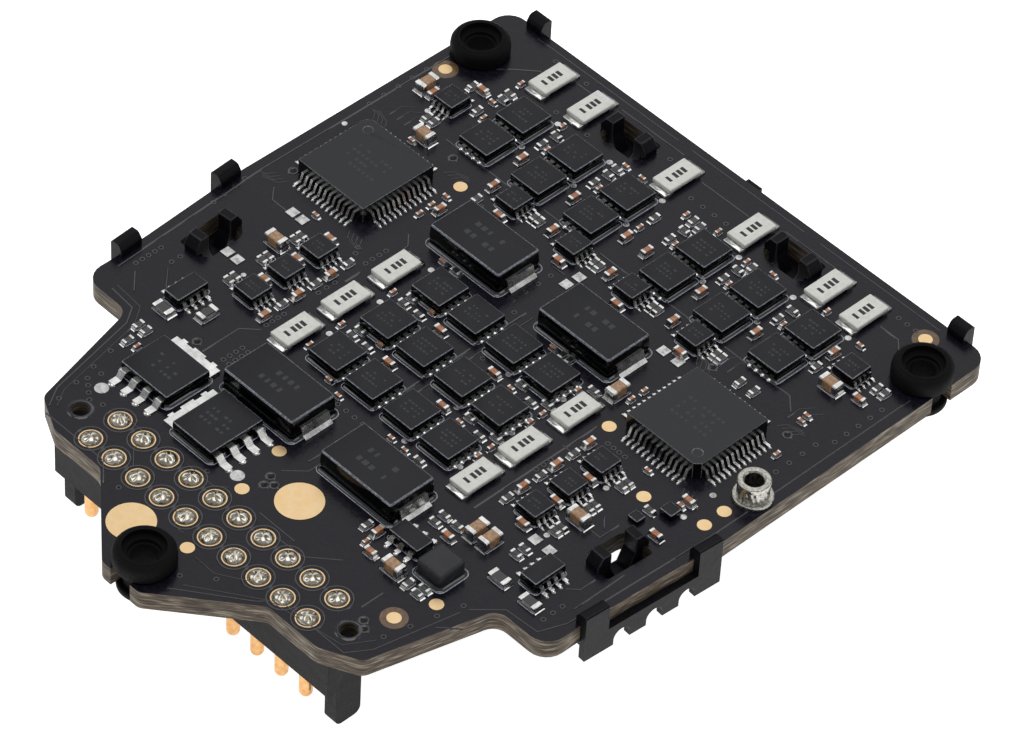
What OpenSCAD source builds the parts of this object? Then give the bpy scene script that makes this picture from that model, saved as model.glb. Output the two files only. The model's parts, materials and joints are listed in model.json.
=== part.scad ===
// Four-motor power and drive board for a small aircraft: one circuit board with its
// parts, a 20-way pin header under the nose, rubber grommets and press-in wire combs.
// X runs across the board, +Y points at the far edge, +Z is up. All sizes in mm.

/* [Board] */
// Width of the board across its straight sides
board_w = 49.7; // [49.7:0.1:62]
// Length from the far edge to the shoulders
body_l = 43.1; // [43.1:0.1:54]
// Length of the nose past the shoulders
nose_l = 11.5; // [11.5:0.1:15]
// Length of the grommet tab past the nose
tab_l = 5.7; // [5.4:0.1:7.5]
// Thickness of the board
board_t = 1.6; // [1.2:0.1:2.4]
// Radius of the board's outer corners
corner_r = 1.6; // [0.8:0.1:2.4]
// How much each side leans in along a side comb
waist_in = 0.9; // [0:0.1:1.4]

/* [Grommets] */
// Diameter of the screw hole through a grommet
grommet_hole_d = 2.0; // [1.6:0.1:2.4]
// Diameter of a grommet's neck, in its notch
grommet_neck_d = 3.1; // [2.8:0.1:3.7]
// Diameter of the top flange
grommet_top_d = 4.6; // [4.2:0.1:5.2]
// Height of the top flange above the board
grommet_top_h = 1.5; // [1.2:0.1:2.2]
// Diameter of the lower flange
grommet_low_d = 4.0; // [3.8:0.1:4.8]
// Thickness of the lower flange
grommet_low_h = 0.6; // [0.4:0.1:1]
// Distance of a side grommet from the side edge
grommet_in = 2.0; // [1.8:0.1:3]
// Distance of a side grommet from the far edge
grommet_down = 5.0; // [4.2:0.1:6]

/* [Header] */
// Pins in one row
pin_count = 10; // [6:1:10]
// Pitch of the pins along a row
pin_pitch = 2.5; // [2:0.1:2.5]
// Distance between the two rows
row_pitch = 2.7; // [2:0.1:3]
// Diameter of a pin
pin_d = 1.0; // [0.6:0.1:1.2]
// Depth of the header's block below the board
header_h = 3.4; // [3:0.1:4.4]
// How far the guide fins stand below the block
fin_h = 3.6; // [3:0.1:5]
// How far the pins stand below the block
pin_reach = 2.7; // [2:0.1:2.9]

/* [Combs] */
// Thickness of a comb's outer wall
comb_wall = 0.6; // [0.5:0.05:1]
// Height of a hook above the board
hook_h = 1.15; // [0.7:0.05:1.4]
// How far a hook reaches over the board
hook_reach = 0.45; // [0.3:0.05:0.8]
// Length of a slot for a pair of prongs
slot_l = 4.2; // [4:0.05:5.6]
// Width of a slot
slot_w = 2.8; // [2.4:0.1:3.4]
// Thickness of a prong's leg
prong_t = 0.7; // [0.5:0.1:0.9]
// How far a prong's barb reaches over the board
barb = 0.25; // [0.2:0.05:0.6]
// Diameter of a motor wire's arch
arch_d = 1.45; // [1:0.05:1.8]
// Distance between wire arches
arch_pitch = 2.95; // [2.2:0.05:3]

/* [Packages] */
// Width of a controller's body
mcu_w = 7.0; // [7:0.1:7.4]
// Width of a drive transistor's body
fet_w = 3.0; // [2.6:0.1:3.1]
// Height of a drive transistor
fet_h = 0.95; // [0.8:0.05:1.2]
// Height of a bulk capacitor
bulk_h = 1.9; // [1.4:0.1:2.8]
// Height of the threaded insert
insert_h = 1.8; // [1.4:0.1:3]
// Diameter of the insert's thread
insert_thread_d = 1.4; // [1.1:0.1:1.6]

/* [Hidden] */
$fn = 48;

// Clearances
wall_gap = 0.05;
prong_gap = 0.3;
neck_gap = 0.05;
pin_gap = 0.02;

// Levels, with z = 0 at the board's top face
under = -board_t;
header_z = under - header_h;
fin_z = header_z - fin_h;
comb_z = under - 1.5;
sill_z = -1.2;
arm_t = 0.9;
pad_t = 0.03;

// Outline of the board, from the far edge at y = 0
half_w = board_w / 2;
total_l = body_l + nose_l + tab_l;
waist_top = 27.0;
waist_l = 13.0;
shoulder_x = 19.2;
nose_slope = 2.6;
nose_flat = 13.6;
tab_root = 8.7;
tab_tip = 1.9;
nose_y = -(body_l + nose_l);
low_half_w = half_w - waist_in;

// Places of the three grommets
far_grommet_x = half_w - grommet_in;
nose_grommet_in = 2.2;
nose_grommet_y = nose_grommet_in - total_l;

// Header, in the middle of the nose
pin_mid_y = nose_y + 2.65;
header_l = 2 * 14.25;
header_front = row_pitch / 2 + 0.8;
header_back = row_pitch / 2 + 1.9;
peg_x = 13.9;
peg_d = 0.9;
fin_t = 1.15;
fin_w = 2.3;
fin_y = -0.15;

// Side combs lean with the waist; the far comb lies along the far edge
side_tilt = atan2(waist_in, waist_l);
side_comb_down = 6.65;
side_comb_y = -waist_top - side_comb_down;
side_comb_x = half_w - waist_in * side_comb_down / waist_l;
side_slot_in = 3.5;
far_end = 6.0;
near_end = -6.3;
post_w = 2.1;
rib_w = 1.5;
far_slot_in = 3.45;
far_slot_x = 8.5;
far_hook_x = half_w - 3.05;
far_hook_w = 1.6;
leg_w = 1.3;
bridge_in = 0.75;
bridge_out = 1.45;
root_in = 0.45;
root_t = 0.75;
head_top = 1.3;
comb_reach = wall_gap + comb_wall;

// The frame: middle of the box in X and Y, lowest point at z = 0
nose_reach = max(total_l, grommet_top_d / 2 - nose_grommet_y);
far_y = (nose_reach - comb_reach) / 2;
top_z = -fin_z;

// Groups that keep their distance from an edge when the board changes size
laid_out_w = 49.7;
laid_out_l = 54.6;
right_x = (board_w - laid_out_w) / 2;
left_x = -right_x;
nose_dy = laid_out_l - body_l - nose_l;

// Rows and columns of the drive transistors
far_fet_x = [-14.95, -9.45, -3.95, 3.95, 9.45, 14.95];
far_fet_y = [-8.1, -11.8];
mid_fet_x = [-5.7, -1.95, 2.0, 5.8];
mid_fet_y = [-25.2, -30.2, -35.1];
mid_gap_y = [-27.4, -32.4];

// Gate drivers: [x, y, turn]
far_driver_x = [-8.95, -2.7, 3.3, 9.75];
far_driver_y = -14.75;
left_driver_y = [-28.9, -32.1, -35.3];
right_driver_y = [-28.5, -31.7, -34.9];
DRIVERS = concat(
  [for (x = far_driver_x) [x, far_driver_y, 0]],
  [for (y = left_driver_y) [left_x - 14.5, y, 0]],
  [for (y = right_driver_y) [right_x + 14.3, y, 0]],
  [[left_x - 19.9, -10.7, 90], [right_x + 19.4, -8.7, 0]]);

// Current-sense resistors: [x, y]
SENSE = concat(
  [for (x = [-16.7, -12.6]) [x, -3.4]],
  [for (x = [-3.1, 4.6, 12.4, 15.9]) [x, -3.8]],
  [for (y = [-25.9, -30.8, -35.6]) [-9.55, y]],
  [for (y = [-26.2, -31.3, -35.9]) [9.35, y]]);

// Bulk capacitors: [x, y]
BULK = [[-6.6, -20.0], [4.8, -20.1], [-5.4, -40.95], [5.0, -41.2]];

// Controllers: [x, y, turn]
MCU_LEFT = [left_x - 18.3, -20.85, 0];
MCU_RIGHT = [right_x + 16.1, -20.95, 180];

// Small parts round each far transistor pair, from the upper transistor
cell_small = [[-2.15, -0.75, 90]];
cell_resistors = [[-2.85, -0.6, 90], [-2.75, 0.8, 0]];
// Small parts between the rows of the middle transistors, from the gap's middle
gap_small = [[-8.05, -0.2, 90], [-4.7, 0.5, 0], [4.6, -0.55, 0], [7.85, -0.6, 90], [7.85, -1.85, 90]];
gap_resistors = [[-6.7, 0.4, 0], [-6.7, -0.4, 0], [-5.1, -0.4, 0],
  [4.8, 0.3, 0], [6.5, -0.45, 0], [7.4, 0.35, 0]];
gap_caps = [[-2.9, -0.35, 0], [2.75, -0.45, 0]];
// Small parts beside a driver of the left and right columns, from its middle
left_caps = [[-0.5, 1.55, 0], [2.2, -0.85, 90]];
left_resistors = [[-2.15, 0.25, 0], [-2.15, -0.35, 0], [2.15, 0.9, 90]];
right_caps = [[-2.2, 0.95, 90], [0.35, -1.5, 0]];
right_resistors = [[-2.2, -0.55, 90], [2.3, 0.3, 0], [2.3, -0.3, 0]];
// Small parts beside a driver of the far row
row_caps = [[-2.4, 0.2, 90], [0.2, -1.7, 0]];
row_resistors = [[1.95, 0.15, 90], [2.5, 0.15, 90]];

function shifted(list, x, y) = [for (p = list) [p[0] + x, p[1] + y, p[2]]];
function part_of(list, first, last) = [for (i = [first : last]) list[i]];
function spread(list, spots) = [for (s = spots) each shifted(list, s[0], s[1])];

FAR_SPOTS = [for (i = [1 : 5]) [far_fet_x[i], far_fet_y[0]]];
GAP_SPOTS = [for (y = mid_gap_y) [0, y]];
LEFT_SPOTS = [for (y = left_driver_y) [left_x - 14.5, y]];
RIGHT_SPOTS = [for (y = right_driver_y) [right_x + 14.3, y]];
ROW_SPOTS = [for (x = far_driver_x) [x, far_driver_y]];

// Ceramic capacitors 1.0 x 0.5: [x, y, turn]
CAPS = concat(
  [for (x = [-12.1, -6.55, -1.1, 1.0, 6.55, 12.1]) [x, -10.95, 90]],
  spread(row_caps, ROW_SPOTS),
  spread(gap_caps, GAP_SPOTS),
  spread(left_caps, LEFT_SPOTS),
  spread(right_caps, RIGHT_SPOTS),
  shifted([[-19.4, -8.0, 0], [-21.6, -11.0, 90], [-12.1, -19.2, 90]], left_x, 0),
  shifted([[17.2, -8.2, 90], [21.6, -10.2, 0], [21.5, -30.3, 0], [20.7, -26.3, 0]], right_x, 0),
  [[12.1, -41.1, 0], [8.6, -44.4, 90], [9.7, -46.1, 0]]);

// Ceramic capacitors 0.6 x 0.3: [x, y, turn]
TINY = concat(
  spread(cell_small, FAR_SPOTS),
  spread(gap_small, GAP_SPOTS),
  [[-18.1, -5.3, 90], [-12.7, -6.2, 90], [-6.5, -5.7, 0], [-4.8, -5.7, 0], [-1.2, -9.5, 90]],
  [[0.1, -6.0, 90], [2.9, -5.5, 90], [6.5, -6.2, 90], [8.7, -5.7, 0], [13.9, -5.5, 90]],
  [[-8.0, -22.75, 0], [3.6, -22.9, 0], [7.8, -24.5, 90], [-8.0, -35.7, 90]],
  [[-4.5, -37.0, 0], [-2.9, -37.6, 0], [2.6, -37.6, 0], [4.1, -37.7, 0], [8.7, -45.6, 90]],
  [[-17.2, -10.0, 90], [-18.0, -8.3, 0]],
  shifted([[-18.9, -15.7, 0], [-12.8, -17.9, 0], [-12.9, -19.3, 90]], left_x, 0),
  shifted([[-12.8, -20.6, 90], [-17.6, -26.4, 0]], left_x, 0),
  shifted([[-15.9, -45.0, 90]], 0, nose_dy),
  shifted([[17.9, -6.2, 0], [20.3, -14.1, 0], [20.4, -14.8, 0], [21.5, -18.4, 90]], right_x, 0),
  shifted([[10.95, -21.0, 90], [10.95, -22.3, 90], [16.7, -26.3, 0], [20.6, -27.0, 0]], right_x, 0));

// Chip resistors 0.9 x 0.45: [x, y, turn]
RESISTORS = concat(
  spread(cell_resistors, FAR_SPOTS),
  spread(gap_resistors, GAP_SPOTS),
  spread(left_resistors, LEFT_SPOTS),
  spread(right_resistors, RIGHT_SPOTS),
  spread(row_resistors, ROW_SPOTS),
  [[-6.7, -6.4, 0], [-1.2, -8.0, 90], [0.9, -6.1, 90], [1.7, -6.2, 90], [7.2, -6.4, 90]],
  [[-11.2, -16.4, 90], [-6.6, -22.75, 0], [4.6, -22.9, 90], [5.3, -22.9, 90], [8.6, -23.7, 0]],
  [[10.5, -39.9, 0], [11.8, -39.9, 0], [10.5, -40.8, 0], [7.6, -44.5, 90], [5.5, -37.65, 0]],
  [[14.6, -45.6, 0], [14.6, -46.3, 0], [13.5, -46.1, 90]],
  [[-17.8, -6.7, 0], [-17.7, -7.5, 0], [-18.1, -9.8, 90]],
  shifted([[-20.3, -8.2, 90], [-20.0, -13.1, 90], [-19.3, -13.1, 90]], left_x, 0),
  shifted([[-17.5, -43.5, 90], [-16.7, -43.5, 90], [-16.8, -45.1, 90]], 0, nose_dy),
  shifted([[17.3, -10.1, 90], [21.7, -8.4, 90], [22.4, -8.4, 90]], right_x, 0),
  shifted([[14.8, -15.3, 90], [16.1, -15.2, 90], [16.4, -37.9, 0]], right_x, 0),
  shifted([[16.4, -38.7, 0], [19.5, -28.9, 0]], right_x, 0));

// Large ceramic capacitors 1.7 x 0.95: [x, y, turn]
BIG_CAPS = concat(
  shifted([[-22.5, -10.8, 90], [-17.3, -30.5, 0]], left_x, 0),
  shifted([[19.4, -10.8, 0], [16.9, -33.2, 0]], right_x, 0),
  [[9.85, -22.6, 90], [13.1, -39.3, 90], [14.4, -39.3, 90], [11.9, -46.0, 0], [-18.5, -14.8, 0]]);

// Filter resistors 1.6 x 0.85: [x, y, turn]
FILTERS = concat(
  shifted([[-15.1, -39.1, 90], [-17.5, -41.1, 0]], left_x, 0),
  shifted([[17.3, -41.1, 0], [20.3, -41.1, 0]], right_x, 0));

// Current amplifiers and the two smallest chips
AMPS = [[left_x - 17.6, -38.9], [right_x + 19.1, -38.8]];
SMALL_CHIPS = [[right_x + 19.4, -30.1, 1.0, 0.9, 0.4], [right_x + 20.6, -28.0, 1.2, 1.1, 0.6]];

// Round gold test pads and fiducial dots: [x, y, diameter]
GOLD_DOTS = concat(
  shifted([[-13.0, -16.3, 1.05], [-23.1, -8.35, 1.05]], left_x, 0),
  shifted([[16.1, -45.9, 1.05]], 0, nose_dy),
  shifted([[18.2, -28.2, 1.05], [22.9, -26.95, 1.05], [22.9, -25.0, 1.05]], right_x, 0),
  shifted([[11.75, -25.25, 1.05], [20.45, -2.1, 1.05]], right_x, 0),
  shifted([[-1.7, -44.25, 1.05], [-0.7, -48.6, 1.05], [1.0, -55.1, 1.05], [15.1, -48.9, 1.05]], 0, nose_dy),
  shifted([[2.8, -46.4, 3.54], [-3.4, -56.35, 3.54]], 0, nose_dy));

// Round tin test pads: [x, y, diameter]
TIN_DOTS = concat(
  [for (x = far_fet_x) [x + 1.75, far_fet_y[0] + 1.9, 0.5]],
  [for (x = far_fet_x) [x + 1.8, far_fet_y[0] - 1.85, 0.5]],
  [for (y = mid_fet_y) [-8.0, y + 1.3, 0.5]],
  [for (y = [-27.0, -32.0, -37.0]) [3.35, y, 0.5]],
  [for (y = [-25.85, -30.85, -35.85]) [7.7, y, 0.5]],
  shifted([[-20.6, -12.5, 0.45], [-23.6, -18.1, 0.45], [-16.5, -34.4, 0.4]], left_x, 0),
  shifted([[21.3, -24.5, 0.5], [21.4, -27.5, 0.5], [15.9, -29.6, 0.45], [16.4, -35.8, 0.45]], right_x, 0),
  shifted([[-14.5, -49.5, 1.05], [-1.85, -48.0, 1.05]], 0, nose_dy));

// Square tin pads with nothing on them: [x, y]
TIN_SQUARES = concat(
  [for (y = [-27.4, -33.7]) for (x = [-19.0, -17.95]) [left_x + x, y]],
  [[-0.4, -16.4], [-0.5, -17.6], [8.95, -17.1], [10.4, -17.1]],
  [for (x = [16.2, 17.6]) [right_x + x, -36.7]]);

// Lead frames: [body width, body length, height, leads a side, pitch, tip to tip, lead width]
MCU_LEADS = [mcu_w, mcu_w, 1.5, 12, 0.5, mcu_w + 2, 0.22];
DRIVER_BODY = [2.0, 2.0, 0.95, 4, 0.5, 3.0, 0.2];
AMP_BODY = [1.6, 2.9, 1.0, 4, 0.65, 2.8, 0.3];
BUCK_BODY = [1.6, 2.9, 0.9, 3, 0.95, 2.8, 0.4];
BUCK = [10.8, -43.35, 90];

// Power switches at the nose: [x, y, turn]
SWITCH_A = [-12.45, -45.35 + nose_dy, 0];
SWITCH_B = [-6.0, -46.15 + nose_dy, 90];
switch_w = 4.9;
switch_l = 4.1;
switch_h = 1.05;

INSERT = [right_x + 23.2, -22.5];

// Points of a rounded corner at b, on the way from a to c
function unit(v) = v / norm(v);
function corner(a, b, c, r, steps = 6) =
  let (
    u = unit(a - b),
    v = unit(c - b),
    half = acos(u * v) / 2,
    mid = b + unit(u + v) * r / sin(half),
    first = b + u * r / tan(half) - mid,
    side = sign(u[0] * v[1] - u[1] * v[0]),
    sweep = 180 - 2 * half
  )
  r == 0 ? [b] : [for (i = [0 : steps])
    let (t = -side * sweep * i / steps)
    mid + [first[0] * cos(t) - first[1] * sin(t), first[0] * sin(t) + first[1] * cos(t)]];

// A closed outline from corners given as [x, y, radius]
function rounded(p) = let (n = len(p))
  [for (i = [0 : n - 1])
    let (
      a = p[(i + n - 1) % n],
      b = p[i],
      c = p[(i + 1) % n]
    )
    each corner([a[0], a[1]], [b[0], b[1]], [c[0], c[1]], b[2])];

// Right half of the board from the far edge to the tab
right_side = [
  [half_w, 0, corner_r],
  [half_w, -waist_top, 0],
  [low_half_w, -waist_top - waist_l, 0],
  [low_half_w, -body_l, corner_r],
  [shoulder_x, -body_l, 1.2],
  [shoulder_x - nose_slope, nose_y + 1.5, 1.0],
  [nose_flat, nose_y, 1.2],
  [tab_root, nose_y, 1.0],
  [tab_tip, -total_l, 0.9]];
left_side = [for (i = [len(right_side) - 1 : -1 : 0])
  [-right_side[i][0], right_side[i][1], right_side[i][2]]];

module at_board() {
  translate([0, far_y, top_z]) children();
}

// Frame of a side comb: +X out of the board, +Y towards the far edge
module at_side(s) {
  at_board() translate([s * side_comb_x, side_comb_y, 0]) rotate([0, 0, -s * side_tilt])
    flip_x(s) children();
}

module flip_x(s) {
  if (s < 0) mirror([1, 0, 0]) children();
  else children();
}

module flip_y(s) {
  if (s < 0) mirror([0, 1, 0]) children();
  else children();
}

module at_far() {
  at_board() rotate([0, 0, 90]) children();
}

module put(p) {
  translate([p[0], p[1], 0]) rotate([0, 0, p[2]]) children();
}

module block(w, l, z0, z1) {
  translate([-w / 2, -l / 2, z0]) cube([w, l, z1 - z0]);
}

// ---- Board ----

module slot(inset) {
  h = board_t + 1;
  r = 0.9;
  path = rounded([[-slot_w / 2, -slot_l / 2, r], [slot_w / 2, -slot_l / 2, 0.3],
    [slot_w / 2, slot_l / 2, 0.3], [-slot_w / 2, slot_l / 2, r]]);
  translate([-inset, 0, under - 0.5]) linear_extrude(h) polygon(path);
}

module grommet_notch(x, y, turn) {
  r = grommet_neck_d / 2 + neck_gap;
  translate([x, y, under - 0.5]) {
    cylinder(r = r, h = board_t + 1);
    rotate([0, 0, turn]) translate([0, -1, 0]) cube([6, 2, board_t + 1]);
  }
}

module pin_places() {
  for (row = [-1, 1]) {
    for (i = [0 : pin_count - 1]) {
      translate([(i - (pin_count - 1) / 2) * pin_pitch, pin_mid_y + row * row_pitch / 2, 0])
        children();
    }
  }
}

module circuit_board() {
  color("#26262b") difference() {
    at_board() translate([0, 0, under]) linear_extrude(board_t)
      polygon(rounded(concat(right_side, left_side)));
    at_side(1) slot(side_slot_in);
    at_side(-1) slot(side_slot_in);
    at_far() for (s = [-1, 1]) translate([0, s * far_slot_x, 0]) slot(far_slot_in);
    at_board() {
      grommet_notch(far_grommet_x, -grommet_down, 0);
      grommet_notch(-far_grommet_x, -grommet_down, 180);
      grommet_notch(0, nose_grommet_y, -90);
      pin_places() translate([0, 0, under - 0.5]) cylinder(d = pin_d + 0.2, h = board_t + 1);
      for (s = [-1, 1]) translate([s * peg_x, pin_mid_y, under - 0.5])
        cylinder(d = peg_d + 0.4, h = board_t + 1);
    }
  }
}

module gold_pads() {
  color("#e9c383") at_board() difference() {
    union() {
      for (p = GOLD_DOTS) translate([p[0], p[1], 0]) cylinder(d = p[2], h = pad_t);
      pin_places() difference() {
        cylinder(d = pin_d + 0.75, h = pad_t);
        translate([0, 0, -1]) cylinder(d = pin_d + 0.2, h = 2);
      }
    }
    translate([0, nose_grommet_y, -1]) cylinder(d = grommet_top_d + 0.1, h = 2);
  }
}

module tin_pads() {
  color("#d9d9d6") at_board() {
    for (p = TIN_DOTS) translate([p[0], p[1], 0]) cylinder(d = p[2], h = pad_t);
    for (p = TIN_SQUARES) translate([p[0], p[1], 0]) block(0.8, 0.8, 0, 0.08);
  }
}

// Three solder pads behind the wire arches of each motor, on the underside
module wire_pads() {
  for (i = [-1, 0, 1]) translate([-1.2, i * arch_pitch, 0])
    block(1.4, 1.7, under - pad_t, under);
}

module motor_wire_pads() {
  color("#d9d9d6") {
    at_side(1) wire_pads();
    at_side(-1) wire_pads();
    at_far() for (s = [-1, 1]) translate([0, s * far_slot_x, 0]) wire_pads();
  }
}

// ---- Header under the nose ----

module guide_fin(s) {
  r = 0.6;
  path = rounded([[-fin_w / 2, under - 1, 0], [fin_w / 2, under - 1, 0],
    [fin_w / 2, fin_z, r], [-fin_w / 2, fin_z, r]]);
  translate([s > 0 ? header_l / 2 - fin_t : -header_l / 2, pin_mid_y + fin_y, 0])
    rotate([90, 0, 90]) linear_extrude(fin_t) polygon(path);
}

module pin_header_block() {
  color("#2b2b2e") at_board() difference() {
    union() {
      translate([-header_l / 2, pin_mid_y - header_front, header_z])
        cube([header_l, header_front + header_back, header_h]);
      for (s = [-1, 1]) {
        guide_fin(s);
        translate([s * peg_x, pin_mid_y, under - 0.5]) cylinder(d = peg_d, h = 0.5 + board_t - 0.7);
      }
    }
    pin_places() translate([0, 0, header_z - 1]) cylinder(d = pin_d + 2 * pin_gap, h = header_h + 2);
  }
}

module header_pins() {
  tip_z = header_z - pin_reach + pin_d / 2;
  color("#d8a868") at_board() pin_places() {
    translate([0, 0, tip_z]) cylinder(d = pin_d, h = pad_t - tip_z);
    translate([0, 0, tip_z]) sphere(d = pin_d);
  }
}

// A domed solder joint over each pin
module pin_solder() {
  h = 0.42;
  w = pin_d / 2 + 0.15;
  steps = 6;
  dome = [for (i = [0 : steps]) [w * cos(90 * i / steps), h * sin(90 * i / steps)]];
  color("#cfcfca") at_board() pin_places() translate([0, 0, pad_t])
    rotate_extrude() polygon(concat([[0, 0]], dome));
}

// ---- Grommets and insert ----

module grommet(x, y) {
  r = grommet_top_d / 2;
  round_r = 0.65;
  steps = 6;
  top = [for (i = [0 : steps])
    [r - round_r + round_r * cos(90 * i / steps), grommet_top_h - round_r + round_r * sin(90 * i / steps)]];
  cup_r = grommet_hole_d / 2 + 0.7;
  lip = [[cup_r + 0.15, grommet_top_h], [cup_r, grommet_top_h - 0.2]];
  cup = [[cup_r, 0.95], [grommet_hole_d / 2 + 0.25, 0.95], [grommet_hole_d / 2 + 0.25, 0.7]];
  color("#1c1c1e") at_board() translate([x, y, 0]) difference() {
    union() {
      rotate_extrude() polygon(concat([[0, 0], [r, 0]], top, [[0, grommet_top_h]]));
      translate([0, 0, under]) cylinder(d = grommet_neck_d, h = board_t + 0.1);
      translate([0, 0, under - grommet_low_h]) cylinder(d = grommet_low_d, h = grommet_low_h);
    }
    translate([0, 0, -10]) cylinder(d = grommet_hole_d, h = 20);
    rotate_extrude() polygon(concat([[0, 0.7]], [for (i = [2 : -1 : 0]) cup[i]], [lip[1], lip[0]],
      [[cup_r + 0.15, grommet_top_h + 1], [0, grommet_top_h + 1]]));
  }
}

module threaded_insert() {
  flange_h = 0.35;
  barrel_r = 1.2;
  teeth = 16;
  color("#cfcdc4") at_board() translate([INSERT[0], INSERT[1], 0]) difference() {
    union() {
      cylinder(r = 1.5, h = flange_h);
      linear_extrude(insert_h - 0.1) polygon([for (i = [0 : 2 * teeth - 1])
        let (a = 180 * i / teeth, r = i % 2 == 0 ? barrel_r : barrel_r - 0.12)
        [r * cos(a), r * sin(a)]]);
      translate([0, 0, insert_h - 0.4]) cylinder(r = barrel_r + 0.03, h = 0.4);
    }
    translate([0, 0, -1]) cylinder(d = insert_thread_d, h = insert_h + 2);
  }
}

// ---- Wire combs and their snap prongs ----

module wire_arches(y) {
  r = arch_d / 2;
  top = sill_z - 0.7 - r;
  for (i = [-1, 0, 1]) translate([0, y + i * arch_pitch, 0]) {
    translate([-0.5, 0, top]) rotate([0, 90, 0]) cylinder(r = r, h = comb_reach + 1);
    translate([-0.5, -r, comb_z - 1]) cube([comb_reach + 1, arch_d, top - comb_z + 1]);
  }
}

// Hooked post at y, w wide, over the edge of the board
module hook_post(y, w) {
  translate([wall_gap, y - w / 2, comb_z]) cube([comb_wall, w, -comb_z]);
  translate([0, y + w / 2, 0]) rotate([90, 0, 0]) linear_extrude(w)
    polygon([[comb_reach, 0], [-hook_reach, 0], [-hook_reach, 0.55 * hook_h],
      [-hook_reach + 0.25, 0.9 * hook_h], [-hook_reach + 0.45, hook_h],
      [comb_reach - 0.12, hook_h], [comb_reach, hook_h - 0.12]]);
}

// The bar under the slot at y that carries its two prongs, with a rib to the wall at each end
module prong_bridge(y, inset) {
  rib = 1.5 * arch_pitch;
  translate([0, y, under - arm_t]) {
    translate([-inset - bridge_in, -rib - rib_w, 0])
      cube([bridge_in + bridge_out, 2 * (rib + rib_w), arm_t]);
    for (s = [-1, 1]) flip_y(s)
      translate([-inset, rib, 0]) cube([inset + wall_gap + comb_wall / 2, rib_w, arm_t]);
  }
}

module comb_bar(y0, y1) {
  translate([wall_gap, y0, comb_z]) cube([comb_wall, y1 - y0, sill_z - comb_z]);
}

module side_comb() {
  difference() {
    union() {
      comb_bar(near_end, far_end);
      hook_post(far_end - post_w / 2, post_w);
      hook_post(near_end + post_w / 2, post_w);
      prong_bridge(0, side_slot_in);
    }
    wire_arches(0);
  }
}

module far_wire_comb() {
  color("#333338") at_far() difference() {
    union() {
      comb_bar(-far_hook_x - far_hook_w / 2, far_hook_x + far_hook_w / 2);
      translate([wall_gap, -1.4, comb_z]) cube([comb_wall, 1.4, -0.4 - comb_z]);
      for (s = [-1, 1]) {
        hook_post(s * far_hook_x, far_hook_w);
        prong_bridge(s * far_slot_x, far_slot_in);
      }
    }
    for (s = [-1, 1]) wire_arches(s * far_slot_x);
  }
}

module left_wire_comb() {
  color("#333338") at_side(-1) side_comb();
}

module right_wire_comb() {
  color("#333338") at_side(1) side_comb();
}

// One prong: a leg that leans out of the bridge through the slot, with a barb over the board
module prong(s, y, inset) {
  outer = slot_l / 2 - prong_gap;
  tip = outer + prong_gap + barb;
  profile = [[root_in, under], [root_in + root_t, under], [outer, -0.45], [outer, 0.03],
    [tip, 0.03], [tip, 0.4 * head_top], [outer + 0.05, head_top], [outer - prong_t, head_top],
    [outer - prong_t, -0.1]];
  translate([-inset - leg_w / 2, y, 0]) flip_y(s)
    rotate([90, 0, 90]) linear_extrude(leg_w) polygon(profile);
}

module side_prong(side, s) {
  color("#333338") at_side(side) prong(s, 0, side_slot_in);
}

module far_prong(side, s) {
  color("#333338") at_far() prong(s, side * far_slot_x, far_slot_in);
}

// ---- Packages ----

// A bent lead: from the body's side at height h down to a foot, reaching out by reach
module gull_lead(reach, h, w) {
  t = 0.14;
  foot = reach * 0.5;
  knee = reach * 0.22;
  translate([0, w / 2, 0]) rotate([90, 0, 0]) linear_extrude(w)
    polygon([[0, h], [knee, h], [reach - foot, t], [reach, t], [reach, 0],
      [reach - foot - 0.08, 0], [knee - 0.08, h - t], [0, h - t]]);
}

// Leads on two sides, or on four when four is true
module leads(body, four = false) {
  for (turn = four ? [0, 90, 180, 270] : [0, 180]) {
    for (i = [0 : body[3] - 1]) {
      rotate([0, 0, turn]) translate([body[0] / 2, (i - (body[3] - 1) / 2) * body[4], 0])
        gull_lead((body[5] - body[0]) / 2, body[2] / 2 + 0.05, body[6]);
    }
  }
}

module body_of(body) {
  block(body[0], body[1], 0.08, body[2]);
}

module controller(p) {
  w = mcu_w / 2;
  c = 0.45;
  color("#333336") at_board() put(p) difference() {
    translate([0, 0, 0.08]) linear_extrude(1.42)
      polygon([[-w, -w], [w, -w], [w, w], [-w + c, w], [-w, w - c]]);
    translate([-w + 1.0, w - 1.0, 1.45]) cylinder(r = 0.4, h = 1);
  }
}

module controller_leads(p) {
  color("#d9d9d6") at_board() put(p) leads(MCU_LEADS, true);
}

module transistor_row(xs, ys) {
  color("#2e2e31") at_board() for (x = xs) for (y = ys)
    translate([x, y, 0]) block(fet_w, fet_w, 0.2, fet_h);
}

// Four small terminals on one side and one wide tab on the other
module transistor_feet(turn) {
  rotate([0, 0, turn]) {
    for (i = [-1.5 : 1.5]) translate([i * 0.65, -fet_w / 2 + 0.15, 0]) block(0.38, 0.6, 0, 0.2);
    translate([0, fet_w / 2 - 0.75, 0]) block(2.3, 1.8, 0, 0.2);
  }
}

module transistor_terminals() {
  color("#d9d9d6") at_board() {
    for (x = far_fet_x) for (y = far_fet_y) translate([x, y, 0]) transistor_feet(0);
    for (x = mid_fet_x) for (y = mid_fet_y) translate([x, y, 0]) transistor_feet(90);
  }
}

module gate_drivers() {
  color("#38383b") at_board() for (p = DRIVERS) put(p) body_of(DRIVER_BODY);
}

module gate_driver_leads() {
  color("#d9d9d6") at_board() for (p = DRIVERS) put(p) leads(DRIVER_BODY);
}

module sense_resistors() {
  color("#dedcd4") at_board() for (p = SENSE) translate([p[0], p[1], 0]) block(1.9, 3.3, 0.22, 0.62);
}

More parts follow.
